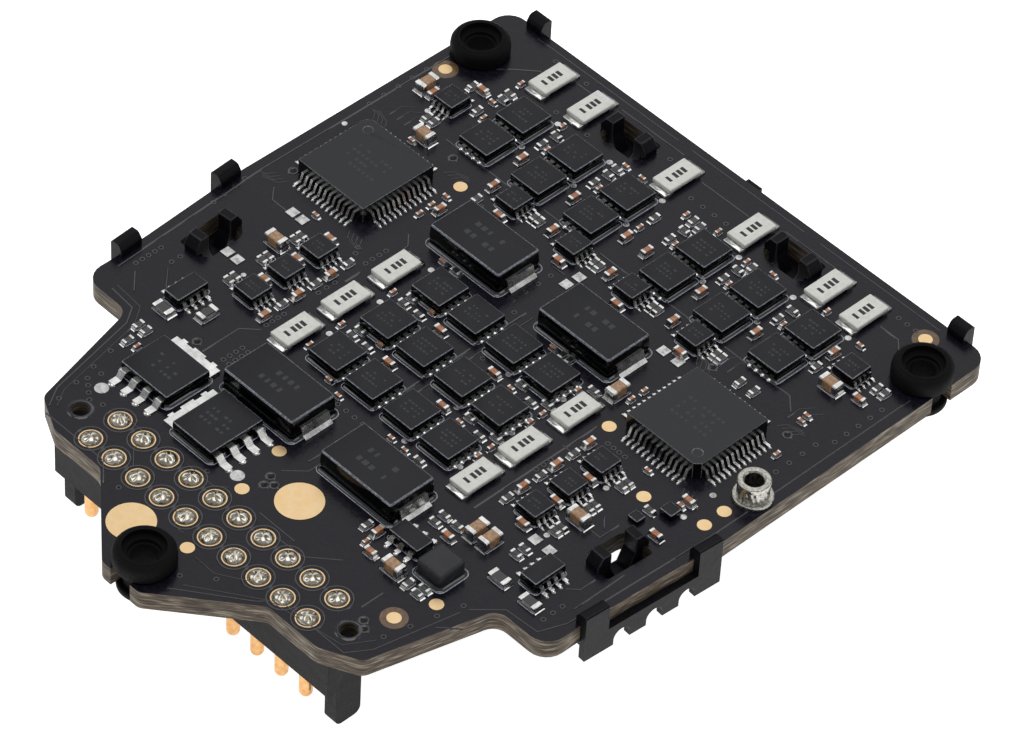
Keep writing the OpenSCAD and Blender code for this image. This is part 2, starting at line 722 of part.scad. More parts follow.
module sense_terminals() {
  color("#d9d9d6") at_board() for (p = SENSE) for (s = [-1, 1])
    translate([p[0], p[1] + s * 1.6, 0]) block(1.75, 1.0, 0, 0.22);
}

module bulk_capacitors() {
  color("#2c2c2f") at_board() for (p = BULK) translate([p[0], p[1], 0]) block(7.3, 4.3, 0.05, bulk_h);
}

module bulk_terminals() {
  profile = [[0, 0], [0.6, 0], [0.6, 0.15], [0.3, 0.35], [0.12, 1.0], [0, 1.0]];
  color("#cfcabf") at_board() for (p = BULK) for (turn = [0, 180])
    translate([p[0], p[1], 0]) rotate([0, 0, turn]) translate([3.65, 1.3, 0])
      rotate([90, 0, 0]) linear_extrude(2.6) polygon(profile);
}

module power_switch(p) {
  color("#323235") at_board() put(p) block(switch_w, switch_l, 0.25, switch_h);
}

module power_switch_leads() {
  tab = [[-2.3, 0], [2.3, 0], [2.3, 2.1], [1.8, 2.1], [1.8, 2.3], [1.3, 2.3], [1.3, 2.1],
    [0.6, 2.1], [0.6, 2.3], [-0.6, 2.3], [-0.6, 2.1], [-1.3, 2.1], [-1.3, 2.3], [-1.8, 2.3],
    [-1.8, 2.1], [-2.3, 2.1]];
  color("#d9d9d6") at_board() for (p = [SWITCH_A, SWITCH_B]) put(p) {
    for (i = [-1.5 : 1.5]) translate([i * 1.27, -switch_l / 2, 0]) rotate([0, 0, -90])
      gull_lead(1.35, 0.6, 0.6);
    translate([0, 1.0, 0]) linear_extrude(0.25) polygon(tab);
  }
}

module current_amplifiers() {
  color("#2e2e31") at_board() for (p = AMPS) translate([p[0], p[1], 0]) body_of(AMP_BODY);
}

module current_amplifier_leads() {
  color("#d9d9d6") at_board() for (p = AMPS) translate([p[0], p[1], 0]) leads(AMP_BODY);
}

module buck_regulator() {
  color("#2e2e31") at_board() put(BUCK) body_of(BUCK_BODY);
}

module buck_regulator_leads() {
  color("#d9d9d6") at_board() put(BUCK) leads(BUCK_BODY);
}

module buck_inductor() {
  w = 1.25;
  color("#36363a") at_board() translate([14.15, -43.7, 0]) linear_extrude(1.4)
    polygon(rounded([[-w, -w, 0.35], [w, -w, 0.35], [w, w, 0.35], [-w, w, 0.35]]));
}

// Rectangular chip parts from a list of [x, y, turn]
module chips(list, length, width, height) {
  at_board() for (p = list) put(p) block(length, width, 0, height);
}

module filter_resistors() {
  color("#3a3a3e") chips(FILTERS, 1.6, 0.85, 0.45);
}

module large_ceramic_capacitors() {
  color("#b5865c") chips(BIG_CAPS, 1.7, 0.95, 0.9);
}

module small_ceramic_capacitors() {
  color("#b8683c") chips(CAPS, 1.0, 0.5, 0.5);
}

module tiny_ceramic_capacitors() {
  color("#b8683c") chips(TINY, 0.6, 0.3, 0.3);
}

module chip_resistors() {
  color("#3a3a3e") chips(RESISTORS, 0.9, 0.45, 0.33);
}

module small_chips() {
  color("#2e2e31") at_board() for (p = SMALL_CHIPS)
    translate([p[0], p[1], 0]) block(p[2], p[3], 0, p[4]);
}

// ---- One line per node ----

circuit_board();
gold_pads();
tin_pads();
motor_wire_pads();
pin_header_block();
header_pins();
pin_solder();
grommet(-far_grommet_x, -grommet_down);  // grommet_far_left
grommet(far_grommet_x, -grommet_down);  // grommet_far_right
grommet(0, nose_grommet_y);  // grommet_nose
threaded_insert();
far_wire_comb();
left_wire_comb();
right_wire_comb();
far_prong(1, 1);  // far_left_prong_outer
far_prong(1, -1);  // far_left_prong_inner
far_prong(-1, 1);  // far_right_prong_inner
far_prong(-1, -1);  // far_right_prong_outer
side_prong(-1, -1);  // left_prong_near
side_prong(-1, 1);  // left_prong_far
side_prong(1, -1);  // right_prong_near
side_prong(1, 1);  // right_prong_far
controller(MCU_LEFT);  // controller_left
controller_leads(MCU_LEFT);  // controller_left_leads
controller(MCU_RIGHT);  // controller_right
controller_leads(MCU_RIGHT);  // controller_right_leads
transistor_row(part_of(far_fet_x, 0, 2), far_fet_y);  // motor_1_transistors
transistor_row(part_of(far_fet_x, 3, 5), far_fet_y);  // motor_2_transistors
transistor_row(part_of(mid_fet_x, 0, 1), mid_fet_y);  // motor_3_transistors
transistor_row(part_of(mid_fet_x, 2, 3), mid_fet_y);  // motor_4_transistors
transistor_terminals();
gate_drivers();
gate_driver_leads();
sense_resistors();
sense_terminals();
bulk_capacitors();
bulk_terminals();
power_switch(SWITCH_A);  // power_switch_a
power_switch(SWITCH_B);  // power_switch_b
power_switch_leads();
current_amplifiers();
current_amplifier_leads();
buck_regulator();
buck_regulator_leads();
buck_inductor();
filter_resistors();
large_ceramic_capacitors();
small_ceramic_capacitors();
tiny_ceramic_capacitors();
chip_resistors();
small_chips();
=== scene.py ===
# %% [markdown]
# # A four-motor power board, built piece by piece
#
# The object is a small aircraft's drive board: a black circuit board crowded with chips, a pin
# header under its nose, rubber grommets at three corners and plastic combs that snap over its
# edges. A CAD model already gives every part its exact place, so the work here is to give each
# part the fine shape and the finish that make it look real: rounded package edges, silver end
# caps, solder, a glossy coating that creeps up the sides of the parts, traces under the mask.
#
# The file starts by loading the CAD model as a fixed frame. Every new piece takes its place from
# that frame, and rides on one of its bodies, so that the moving prongs still move.

# %% Load the frame
import json
import math

import bmesh
import bpy
import numpy as np
from mathutils import Matrix, Vector


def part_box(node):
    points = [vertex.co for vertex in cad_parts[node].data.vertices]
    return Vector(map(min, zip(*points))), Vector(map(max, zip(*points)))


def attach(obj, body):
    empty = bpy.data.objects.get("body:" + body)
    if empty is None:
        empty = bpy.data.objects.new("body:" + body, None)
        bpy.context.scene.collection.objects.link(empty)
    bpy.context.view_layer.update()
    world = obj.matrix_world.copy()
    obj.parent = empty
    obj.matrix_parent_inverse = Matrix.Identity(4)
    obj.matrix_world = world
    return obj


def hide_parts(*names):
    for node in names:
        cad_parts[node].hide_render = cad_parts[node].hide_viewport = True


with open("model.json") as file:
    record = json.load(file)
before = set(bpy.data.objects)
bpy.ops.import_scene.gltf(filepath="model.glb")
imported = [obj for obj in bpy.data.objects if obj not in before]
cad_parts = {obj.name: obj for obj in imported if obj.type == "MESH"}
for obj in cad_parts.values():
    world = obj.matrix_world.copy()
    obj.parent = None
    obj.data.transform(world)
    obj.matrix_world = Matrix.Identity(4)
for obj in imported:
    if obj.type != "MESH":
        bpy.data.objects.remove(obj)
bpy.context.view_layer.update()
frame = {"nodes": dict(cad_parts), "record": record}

MM = 0.001
nodes = frame["nodes"]
home = {node: body for body, members in frame["record"]["behaviour"]["bodies"].items()
        for node in members}
_, board_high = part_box("circuit_board")
TOP = board_high.z
FAR = board_high.y

# %% [markdown]
# ## Camera
#
# A long lens looks down on the board at 45 degrees, so that far and near parts have almost the
# same scale. The camera is set by an aim point on the board's top, two angles and a distance.
# Building its matrix from three directions (right, up, back) keeps the small roll easy to add.

# %% Camera
def aim_camera(aim, azimuth, elevation, roll, distance, lens):
    """back = direction from the aim to the camera; right is level; up = back x right; the roll
    turns right and up about back; place = aim + distance * back."""
    a, e, r = (math.radians(v) for v in (azimuth, elevation, roll))
    back = Vector((math.sin(a) * math.cos(e), -math.cos(a) * math.cos(e), math.sin(e)))
    level = Vector((math.cos(a), math.sin(a), 0))
    rise = back.cross(level)
    right = level * math.cos(r) + rise * math.sin(r)
    up = rise * math.cos(r) - level * math.sin(r)
    data = bpy.data.cameras.new("studio_camera")
    data.lens, data.sensor_width = lens, 36
    data.shift_x, data.shift_y = 0.0037, -0.0007
    camera = bpy.data.objects.new("studio_camera", data)
    turned = Matrix((right, up, back)).transposed().to_4x4()
    camera.matrix_world = Matrix.Translation(aim + back * distance) @ turned
    bpy.context.scene.collection.objects.link(camera)
    bpy.context.scene.camera = camera
    return camera


AIM = Vector((2.636 * MM, FAR - 26.358 * MM, TOP))
camera = aim_camera(AIM, azimuth=43.989, elevation=44.926, roll=3.421,
                    distance=392.2 * MM, lens=194.65)
print("camera at", [round(v / MM, 1) for v in camera.matrix_world.translation], "mm")

# %% [markdown]
# ## Studio
#
# Black parts show their shape only by what they reflect, so the light is built from large soft
# panels: one behind the board, which lies like a grey film on every flat top, one overhead and
# a weak one on each side. The floor is a pale, slightly glowing sheet, as a light table is, which
# keeps the shadows faint and fills the undersides.

# %% Studio
def soft_panel(name, azimuth, elevation, distance, size, watts):
    """A square light at a direction and distance from the aim, turned to face it."""
    a, e = math.radians(azimuth), math.radians(elevation)
    away = Vector((math.sin(a) * math.cos(e), -math.cos(a) * math.cos(e), math.sin(e)))
    data = bpy.data.lights.new(name, "AREA")
    data.shape, data.size, data.energy = "SQUARE", size, watts
    lamp = bpy.data.objects.new(name, data)
    lamp.location = AIM + away * distance
    lamp.rotation_euler = away.to_track_quat("Z", "Y").to_euler()
    bpy.context.scene.collection.objects.link(lamp)
    return lamp


panels = [("back_panel", 215, 46, 0.60, 0.46, 0.50), ("top_panel", 60, 86, 0.55, 0.40, 0.85),
          ("left_panel", 300, 38, 0.55, 0.30, 0.35), ("right_panel", 125, 34, 0.60, 0.25, 0.22)]
for name, azimuth, elevation, distance, size, watts in panels:
    soft_panel(name, azimuth, elevation, distance, size, watts)

world = bpy.data.worlds.new("studio_world")
world.use_nodes = True
backdrop = world.node_tree.nodes["Background"]
backdrop.inputs["Color"].default_value = (0.95, 0.97, 1, 1)
backdrop.inputs["Strength"].default_value = 0.31
bpy.context.scene.world = world
bpy.context.scene.view_settings.view_transform = "Standard"

floor_mesh = bpy.data.meshes.new("floor")
floor_mesh.from_pydata([(-2, -2, 0), (2, -2, 0), (2, 2, 0), (-2, 2, 0)], [], [(0, 1, 2, 3)])
floor = bpy.data.objects.new("floor", floor_mesh)
floor.location.z = -0.4 * MM
bpy.context.scene.collection.objects.link(floor)
sheet = bpy.data.materials.new("pale_floor")
sheet.use_nodes = True
sheet_shader = sheet.node_tree.nodes["Principled BSDF"]
for title, value in (("Base Color", (0.8, 0.8, 0.8, 1)), ("Roughness", 0.9),
                     ("Emission Color", (1, 1, 1, 1)), ("Emission Strength", 0.96)):
    sheet_shader.inputs[title].default_value = value
floor_mesh.materials.append(sheet)
print(f"studio: {len(panels)} panels and a pale floor")

# %% [markdown]
# ## Arrays into meshes
#
# Most pieces are made from a few small tools. Each works on whole arrays: a list of boxes, one
# for each small part, goes in, and the points of all the parts come out at once. `grid_quads`
# numbers the faces of any surface that is a function of two steps, and `make_piece` puts points
# and faces into one mesh, gives each face its finish and lets the piece ride on its body.

# %% Mesh tools
def grid_quads(rows, columns, wrap_rows=False, wrap_columns=False):
    """Face (i, j) joins (i, j), (i, j+1), (i+1, j+1), (i+1, j); a wrapped side joins last to
    first. With columns running anticlockwise and rows running up, faces point outwards."""
    i = np.arange(rows if wrap_rows else rows - 1)[:, None]
    j = np.arange(columns if wrap_columns else columns - 1)[None, :]
    i2, j2 = (i + 1) % rows, (j + 1) % columns
    quad = np.stack([i * columns + j, i * columns + j2, i2 * columns + j2, i2 * columns + j], -1)
    return quad.reshape(-1, 4)


def copies(faces, count, points_each):
    """The same faces for each of count copies, numbered on by points_each."""
    start = (np.arange(count) * points_each)[:, None, None]
    return (faces[None] + start).reshape(-1, faces.shape[1])


def make_piece(name, points, faces, finishes, face_finish=None, body="board", slot=None,
               stands_for=(), sharp=40):
    """One object from points (any shape ending in 3, in metres) and a list of face arrays."""
    mesh = bpy.data.meshes.new(name)
    listed = [f for group in faces for f in group.tolist()]
    mesh.from_pydata(points.reshape(-1, 3).tolist(), [], listed)
    for material in finishes:
        mesh.materials.append(material)
    if face_finish is not None:
        mesh.polygons.foreach_set("material_index", np.asarray(face_finish, np.int32))
    mesh.shade_smooth()
    mesh.set_sharp_from_angle(angle=math.radians(sharp))
    mesh.update()
    piece = bpy.data.objects.new(name, mesh)
    bpy.context.scene.collection.objects.link(piece)
    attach(piece, body)
    if stands_for:
        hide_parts(*stands_for)
    print(f"{name}: {len(mesh.vertices)} points, {len(mesh.polygons)} faces")
    return piece


print("mesh tools ready")

# %% [markdown]
# ## Finding the parts in a CAD node
#
# One CAD node may hold eighty resistors. To build each one, its box has to be found first. Two
# triangles belong to the same solid when they share a corner, so a number is passed from corner
# to corner until every solid has its own. That works for any shape, with only array steps.

# %% Boxes of the separate solids
def islands(node):
    """The box of each separate solid in a CAD node, as (n, 2, 3) low and high corners. Corners
    at one place get one number, and each triangle passes its lowest number to its corners until
    nothing changes, so every solid ends with one number."""
    mesh = nodes[node].data
    co = np.zeros(len(mesh.vertices) * 3, np.float32)
    mesh.vertices.foreach_get("co", co)
    co = co.reshape(-1, 3).astype(float)
    mesh.calc_loop_triangles()
    tri = np.zeros(len(mesh.loop_triangles) * 3, np.int32)
    mesh.loop_triangles.foreach_get("vertices", tri)
    place, same = np.unique(np.round(co / 1e-6).astype(np.int64), axis=0, return_inverse=True)
    tri = same.reshape(-1)[tri].reshape(-1, 3)
    label = np.arange(len(place))
    while True:
        before = label.copy()
        lowest = label[tri].min(1)
        np.minimum.at(label, tri.reshape(-1), np.repeat(lowest, 3))
        if (label == before).all():
            break
    _, group = np.unique(label, return_inverse=True)
    group = group.reshape(-1)
    low = np.full((group.max() + 1, 3), np.inf)
    high = -low
    np.minimum.at(low, group, place * 1e-6)
    np.maximum.at(high, group, place * 1e-6)
    return np.stack([low, high], 1)


print("small parts found:", sum(len(islands(n)) for n in ("chip_resistors", "gate_drivers")))

# %% [markdown]
# ## Stacked outlines
#
# Nearly every case, terminal and coating rim here is a stack of rounded rectangles. `rings`
# builds the stack on every box in one go, and `joined` gathers several shapes into one mesh.

# %% Rounded rectangles in a stack
def rings(boxes, profile, radius, steps=3, closed_ring=False):
    """Stacks rounded rectangles on each box. profile rows are (share of the height, lift, inset)
    in mm; the outline at a level is the box's outline moved in by inset: corner centre = half
    size - radius, and the corner's arc has radius - inset."""
    boxes = np.asarray(boxes, float)
    share, lift, inset = np.array(profile, float).T
    middle, half = boxes.mean(1), (boxes[:, 1] - boxes[:, 0]) / 2
    angle = np.radians(np.arange(4)[:, None] * 90 + np.linspace(0, 90, steps)[None]).reshape(-1)
    quarter = np.repeat(np.arange(4), steps)
    sx, sy = np.array([1, -1, -1, 1])[quarter], np.array([1, 1, -1, -1])[quarter]
    arc = np.maximum(radius - inset, 0.015) * MM
    centre = half[:, None, None, :2] - (inset * MM + arc)[None, :, None, None]
    x = middle[:, None, None, 0] + sx * centre[..., 0] + arc[None, :, None] * np.cos(angle)
    y = middle[:, None, None, 1] + sy * centre[..., 1] + arc[None, :, None] * np.sin(angle)
    height = boxes[:, 1, 2] - boxes[:, 0, 2]
    z = boxes[:, 0, 2][:, None] + share * height[:, None] + lift * MM
    points = np.stack([x, y, np.broadcast_to(z[:, :, None], x.shape)], -1)
    count, levels, around = x.shape
    each = levels * around
    side = copies(grid_quads(levels, around, closed_ring, True), count, each)
    bands = np.tile(np.repeat(np.arange(levels if closed_ring else levels - 1), around), count)
    if closed_ring:
        return points, [side], bands
    top = copies(np.arange(each - around, each)[None], count, each)
    bottom = copies(np.arange(around)[::-1][None], count, each)
    bands = np.concatenate([bands, np.full(count, levels - 1), np.full(count, levels)])
    return points, [side, top, bottom], bands


def joined(parts):
    """One (points, faces) from many, with the face numbers moved on."""
    points, faces, start = [], [], 0
    for p, f in parts:
        p = p.reshape(-1, 3)
        points.append(p)
        faces += [group + start for group in f]
        start += len(p)
    return np.concatenate(points), faces


_, _, band_numbers = rings(islands("gate_drivers"), [(0, 0, 0), (1, 0, 0)], 0.1)
print("a two-level stack on the gate drivers has", len(band_numbers), "faces")

# %% [markdown]
# ## Grain, the effect that every finish shares
#
# No real surface is one even colour. Moulded plastic, rubber, solder mask and plated metal all
# vary a little in tone and gloss, and have a fine relief. One node group does this for every
# finish: a noise in Object coordinates mixes two tones, moves the roughness between two values
# and makes a bump. A second, coarser noise adds the slow unevenness that shows in reflections.

# %% Grain group
def make_grain_group():
    """fine = noise at Scale; tone = mix(Dark, Light, fine); roughness = mix(Smooth, Rough, fine);
    height = fine + 3 x coarse noise at Scale / 12."""
    tree = bpy.data.node_groups.new("SurfaceGrain", "ShaderNodeTree")
    face = tree.interface
    for title, kind, value in (
        ("Dark", "NodeSocketColor", (0.02, 0.02, 0.02, 1)),
        ("Light", "NodeSocketColor", (0.04, 0.04, 0.04, 1)),
        ("Scale", "NodeSocketFloat", 4000.0),
        ("Smooth", "NodeSocketFloat", 0.3),
        ("Rough", "NodeSocketFloat", 0.5),
        ("Relief", "NodeSocketFloat", 0.3),
    ):
        face.new_socket(title, in_out="INPUT", socket_type=kind).default_value = value
    for title, kind in (("Tone", "NodeSocketColor"), ("Roughness", "NodeSocketFloat"),
                        ("Normal", "NodeSocketVector")):
        face.new_socket(title, in_out="OUTPUT", socket_type=kind)
    new, link = tree.nodes.new, tree.links.new
    given, out = new("NodeGroupInput"), new("NodeGroupOutput")
    where = new("ShaderNodeTexCoord")
    fine, coarse = new("ShaderNodeTexNoise"), new("ShaderNodeTexNoise")
    fine.inputs["Detail"].default_value = 4
    coarse.inputs["Detail"].default_value = 2
    slower = new("ShaderNodeMath")
    slower.operation = "DIVIDE"
    slower.inputs[1].default_value = 12
    link(given.outputs["Scale"], slower.inputs[0])
    link(given.outputs["Scale"], fine.inputs["Scale"])
    link(slower.outputs[0], coarse.inputs["Scale"])
    for noise in (fine, coarse):
        link(where.outputs["Object"], noise.inputs["Vector"])
    spread = new("ShaderNodeMapRange")
    spread.inputs["From Min"].default_value = 0.32
    spread.inputs["From Max"].default_value = 0.68
    link(fine.outputs[0], spread.inputs["Value"])
    tone = new("ShaderNodeMix")
    tone.data_type = "RGBA"
    link(spread.outputs[0], tone.inputs["Factor"])
    link(given.outputs["Dark"], tone.inputs["A"])
    link(given.outputs["Light"], tone.inputs["B"])
    gloss = new("ShaderNodeMapRange")
    link(spread.outputs[0], gloss.inputs["Value"])
    link(given.outputs["Smooth"], gloss.inputs["To Min"])
    link(given.outputs["Rough"], gloss.inputs["To Max"])
    height = new("ShaderNodeMath")
    height.operation = "MULTIPLY_ADD"
    height.inputs[1].default_value = 3
    link(coarse.outputs[0], height.inputs[0])
    link(fine.outputs[0], height.inputs[2])
    bump = new("ShaderNodeBump")
    bump.inputs["Distance"].default_value = 0.03 * MM
    link(given.outputs["Relief"], bump.inputs["Strength"])
    link(height.outputs[0], bump.inputs["Height"])
    link(tone.outputs["Result"], out.inputs["Tone"])
    link(gloss.outputs[0], out.inputs["Roughness"])
    link(bump.outputs[0], out.inputs["Normal"])
    return tree


grain_group = make_grain_group()
print("grain group inputs:", [item.name for item in grain_group.interface.items_tree][:6])

# %% [markdown]
# ## The finishes
#
# A finish is a Principled shader with one use of the grain group. Its two tones are given as
# screen colours, which are easy to read off a sample, and are turned into the linear colours
# that a shader adds up. Gloss that doesn't vary, such as a coat, sits on the shader itself.

# %% One finish from two tones
def tone_of(r, g, b):
    """A screen colour c (0 to 1) as linear: c / 12.92 if dark, else ((c + 0.055) / 1.055)^2.4."""
    c = np.array([r, g, b]) / 255
    linear = np.where(c <= 0.04045, c / 12.92, ((c + 0.055) / 1.055) ** 2.4)
    return (*(float(v) for v in linear), 1)


def grain_node(tree, dark, light, smooth, rough, scale, relief):
    """One use of the grain group, with this material's own values."""
    grain = tree.nodes.new("ShaderNodeGroup")
    grain.node_tree = grain_group
    for title, value in (("Dark", tone_of(*dark)), ("Light", tone_of(*light)), ("Scale", scale),
                         ("Smooth", smooth), ("Rough", rough), ("Relief", relief)):
        grain.inputs[title].default_value = value
    return grain


def finish(name, dark, light, smooth, rough, scale=4000, relief=0.3, metallic=0.0, specular=0.5,
           coat=0.0, coat_roughness=0.1):
    """A Principled finish whose tone, roughness and normal come from the grain group."""
    made = bpy.data.materials.new(name)
    made.use_nodes = True
    shader = made.node_tree.nodes["Principled BSDF"]
    grain = grain_node(made.node_tree, dark, light, smooth, rough, scale, relief)
    for output, title in (("Tone", "Base Color"), ("Roughness", "Roughness"), ("Normal", "Normal")):
        made.node_tree.links.new(grain.outputs[output], shader.inputs[title])
    for title, value in (("Metallic", metallic), ("Specular IOR Level", specular),
                         ("Coat Weight", coat), ("Coat Roughness", coat_roughness)):
        shader.inputs[title].default_value = value
    return made


print("bright tin as linear:", [round(v, 3) for v in tone_of(240, 240, 237)[:3]])

# %% [markdown]
# ## A finish for each kind of surface
#
# Each row gives the dark and light tones, the smoothest and roughest gloss, the grain's scale
# and its relief. Metals end in 1.0, and black plastics have a low specular level, which keeps
# them from going grey under the large panels.

# %% Finishes by name
package_top = finish("moulded_chip_top", (20, 20, 25), (34, 34, 40), 0.42, 0.6, 9000, 0.35,
                     specular=0.34)
# The chip sides are the same moulding as the tops; their darker colour is painted shade, and only
# their gloss and coat come from the coating.
package_side_painted_shade = finish("coated_chip_side_painted_shade", (2, 2, 3), (6, 6, 7), 0.1, 0.24, 5000, 0.25,
                      specular=0.22, coat=0.1)
# The rounded chip edges get a paler colour: a painted highlight along each edge.
package_edge_painted_highlight = finish("chip_edge_painted_highlight", (72, 75, 82), (150, 154, 164), 0.2, 0.34, 7000, 0.2, coat=0.6)
mark_grey = finish("laser_mark", (44, 45, 49), (60, 61, 66), 0.45, 0.6, 12000, 0.3)
bright_tin = finish("bright_tin", (196, 195, 192), (240, 240, 237), 0.16, 0.28, 2200, 0.16, 1.0)
pad_tin = finish("pad_tin", (150, 150, 150), (232, 232, 230), 0.2, 0.46, 2600, 0.9, 1.0)
solder_metal = finish("solder", (200, 199, 196), (240, 240, 237), 0.1, 0.22, 2200, 0.35, 1.0)
gold_metal = finish("gold_plating", (240, 204, 150), (248, 218, 172), 0.34, 0.42, 1400, 0.06, 1.0)
pin_gold = finish("pin_gold", (214, 160, 102), (236, 190, 134), 0.24, 0.36, 2500, 0.12, 1.0)
ceramic_brown = finish("ceramic_brown", (150, 92, 56), (198, 134, 92), 0.3, 0.45, 5000, 0.25,
                       coat=0.4)
ceramic_tan = finish("ceramic_tan", (150, 112, 80), (196, 156, 118), 0.35, 0.5, 4000, 0.3,
                     coat=0.3)
ceramic_white = finish("ceramic_white", (150, 148, 140), (190, 188, 180), 0.4, 0.55, 4000, 0.3)
resistor_glass = finish("resistor_glass", (10, 10, 12), (26, 26, 30), 0.12, 0.3, 4000, 0.3,
                        coat=0.5)
sense_glaze = finish("sense_glaze", (226, 225, 217), (240, 239, 232), 0.3, 0.42, 3000, 0.15,
                     coat=0.25)
sense_mark = finish("sense_mark", (26, 26, 28), (44, 44, 46), 0.4, 0.5, 6000, 0.2)
rubber = finish("speckled_rubber", (3, 3, 4), (15, 15, 16), 0.6, 0.9, 11000, 0.9, specular=0.15)
comb_plastic = finish("comb_plastic", (7, 7, 10), (18, 17, 22), 0.28, 0.46, 6000, 0.5,
                      specular=0.12)
# The comb bevels get a paler colour than the comb plastic: a painted highlight along the edges.
comb_edge_painted_highlight = finish("comb_edge_painted_highlight", (26, 26, 30), (50, 50, 56), 0.3, 0.5, 6000, 0.4, specular=0.28)
header_plastic = finish("header_plastic", (11, 11, 13), (26, 25, 28), 0.42, 0.62, 9000, 0.7,
                        specular=0.13)
ferrite = finish("ferrite", (26, 26, 30), (48, 48, 54), 0.4, 0.62, 6000, 0.6)
insert_steel = finish("insert_steel", (140, 138, 130), (214, 211, 203), 0.2, 0.42, 5000, 0.4, 1.0)
# The coating's outer rim gets a pale bluish colour: a painted highlight of the light it catches.
coating_rim_painted_highlight = finish("coating_rim_painted_highlight", (132, 138, 154), (196, 202, 218), 0.12, 0.24, 3500, 0.2,
                     coat=0.8, coat_roughness=0.05)
coating = finish("clear_coating", (10, 11, 14), (24, 26, 32), 0.05, 0.16, 2500, 0.6, coat=1.0,
                 coat_roughness=0.04)
print("finishes made:", len(bpy.data.materials))

# %% [markdown]
# ## The board: satin mask above, cut laminate at the edges
#
# The board is one CAD solid whose shape is right, so it stays and only gets a material. Its flat
# faces carry a violet-black solder mask; its cut edges show the laminate, thin beige and brown
# layers. One material does both: the Z of the object normal says which face a point is on, and
# a noise squeezed along Z draws the layers, so they run along the edge at any corner.

# %% Board material
def sorted_finish(name, limit, grain_values, side_tone, side_rough, both_ways=False):
    """Grain where the normal's z is over limit, or its size is (both_ways); elsewhere a side
    tone and roughness. Returns the material and its colour mix, whose A may take a pattern."""
    made = bpy.data.materials.new(name)
    made.use_nodes = True
    new, link = made.node_tree.nodes.new, made.node_tree.links.new
    shader = made.node_tree.nodes["Principled BSDF"]
    where, apart, up = (new("ShaderNode" + kind) for kind in ("TexCoord", "SeparateXYZ", "Math"))
    link(where.outputs["Normal"], apart.inputs[0])
    z = apart.outputs["Z"]
    if both_ways:
        size = new("ShaderNodeMath")
        size.operation = "ABSOLUTE"
        link(z, size.inputs[0])
        z = size.outputs[0]
    up.operation = "GREATER_THAN"
    up.inputs[1].default_value = limit
    link(z, up.inputs[0])
    grain = grain_node(made.node_tree, *grain_values)
    color, gloss = new("ShaderNodeMix"), new("ShaderNodeMix")
    color.data_type = "RGBA"
    color.inputs["A"].default_value = side_tone
    gloss.inputs["A"].default_value = side_rough
    for mix, output, title in ((color, "Tone", "Base Color"), (gloss, "Roughness", "Roughness")):
        link(up.outputs[0], mix.inputs["Factor"])
        link(grain.outputs[output], mix.inputs["B"])
        link(mix.outputs["Result"], shader.inputs[title])
    link(grain.outputs["Normal"], shader.inputs["Normal"])
    return made, color


board_finish, board_color = sorted_finish(
    "board_mask_and_laminate", 0.5, ((18, 15, 25), (27, 24, 34), 0.2, 0.3, 3000, 0.5),
    (0, 0, 0, 1), 0.6, both_ways=True)
board_shader = board_finish.node_tree.nodes["Principled BSDF"]
board_shader.inputs["Specular IOR Level"].default_value = 0.26
print("one material sorts the mask from the cut edge")

# %% [markdown]
# ## Layers at the cut edge
#
# A sawn board shows its glass and resin as thin uneven layers. A noise that changes about ten
# times faster upwards than sideways gives them, with no need for a drawn picture.

# %% Layers at the cut edge
def laminate_layers(tree, target):
    """noise(700 x, 700 y, 7500 z) through a ramp of four browns, into the target socket."""
    new, link = tree.nodes.new, tree.links.new
    where, squeeze = new("ShaderNodeTexCoord"), new("ShaderNodeMapping")
    layers, ramp = new("ShaderNodeTexNoise"), new("ShaderNodeValToRGB")
    squeeze.inputs["Scale"].default_value = (700, 700, 7500)
    layers.inputs["Scale"].default_value = 1
    layers.inputs["Detail"].default_value = 3
    stops = ramp.color_ramp.elements
    stops[0].position, stops[0].color = 0.34, tone_of(50, 43, 36)
    stops[1].position, stops[1].color = 0.68, tone_of(146, 137, 121)
    for position, color in ((0.46, (82, 71, 59)), (0.56, (102, 91, 77))):
        stops.new(position).color = tone_of(*color)
    link(where.outputs["Object"], squeeze.inputs["Vector"])
    link(squeeze.outputs[0], layers.inputs["Vector"])
    link(layers.outputs[0], ramp.inputs[0])
    link(ramp.outputs[0], target)


laminate_layers(board_finish.node_tree, board_color.inputs["A"])


def dress(node, material):
    """Gives a CAD node's material slots a finish; its shape stays as it is."""
    mesh = nodes[node].data
    if not mesh.materials:
        mesh.materials.append(material)
    for slot in range(len(mesh.materials)):
        mesh.materials[slot] = material


dress("circuit_board", board_finish)
dress("gold_pads", gold_metal)
dress("header_pins", pin_gold)
for node in ("tin_pads", "motor_wire_pads"):
    dress(node, pad_tin)
for node in ("controller_left_leads", "controller_right_leads",
             "gate_driver_leads", "current_amplifier_leads", "buck_regulator_leads",
             "power_switch_leads", "transistor_terminals", "bulk_terminals"):
    dress(node, bright_tin)
print("board and metal nodes dressed")
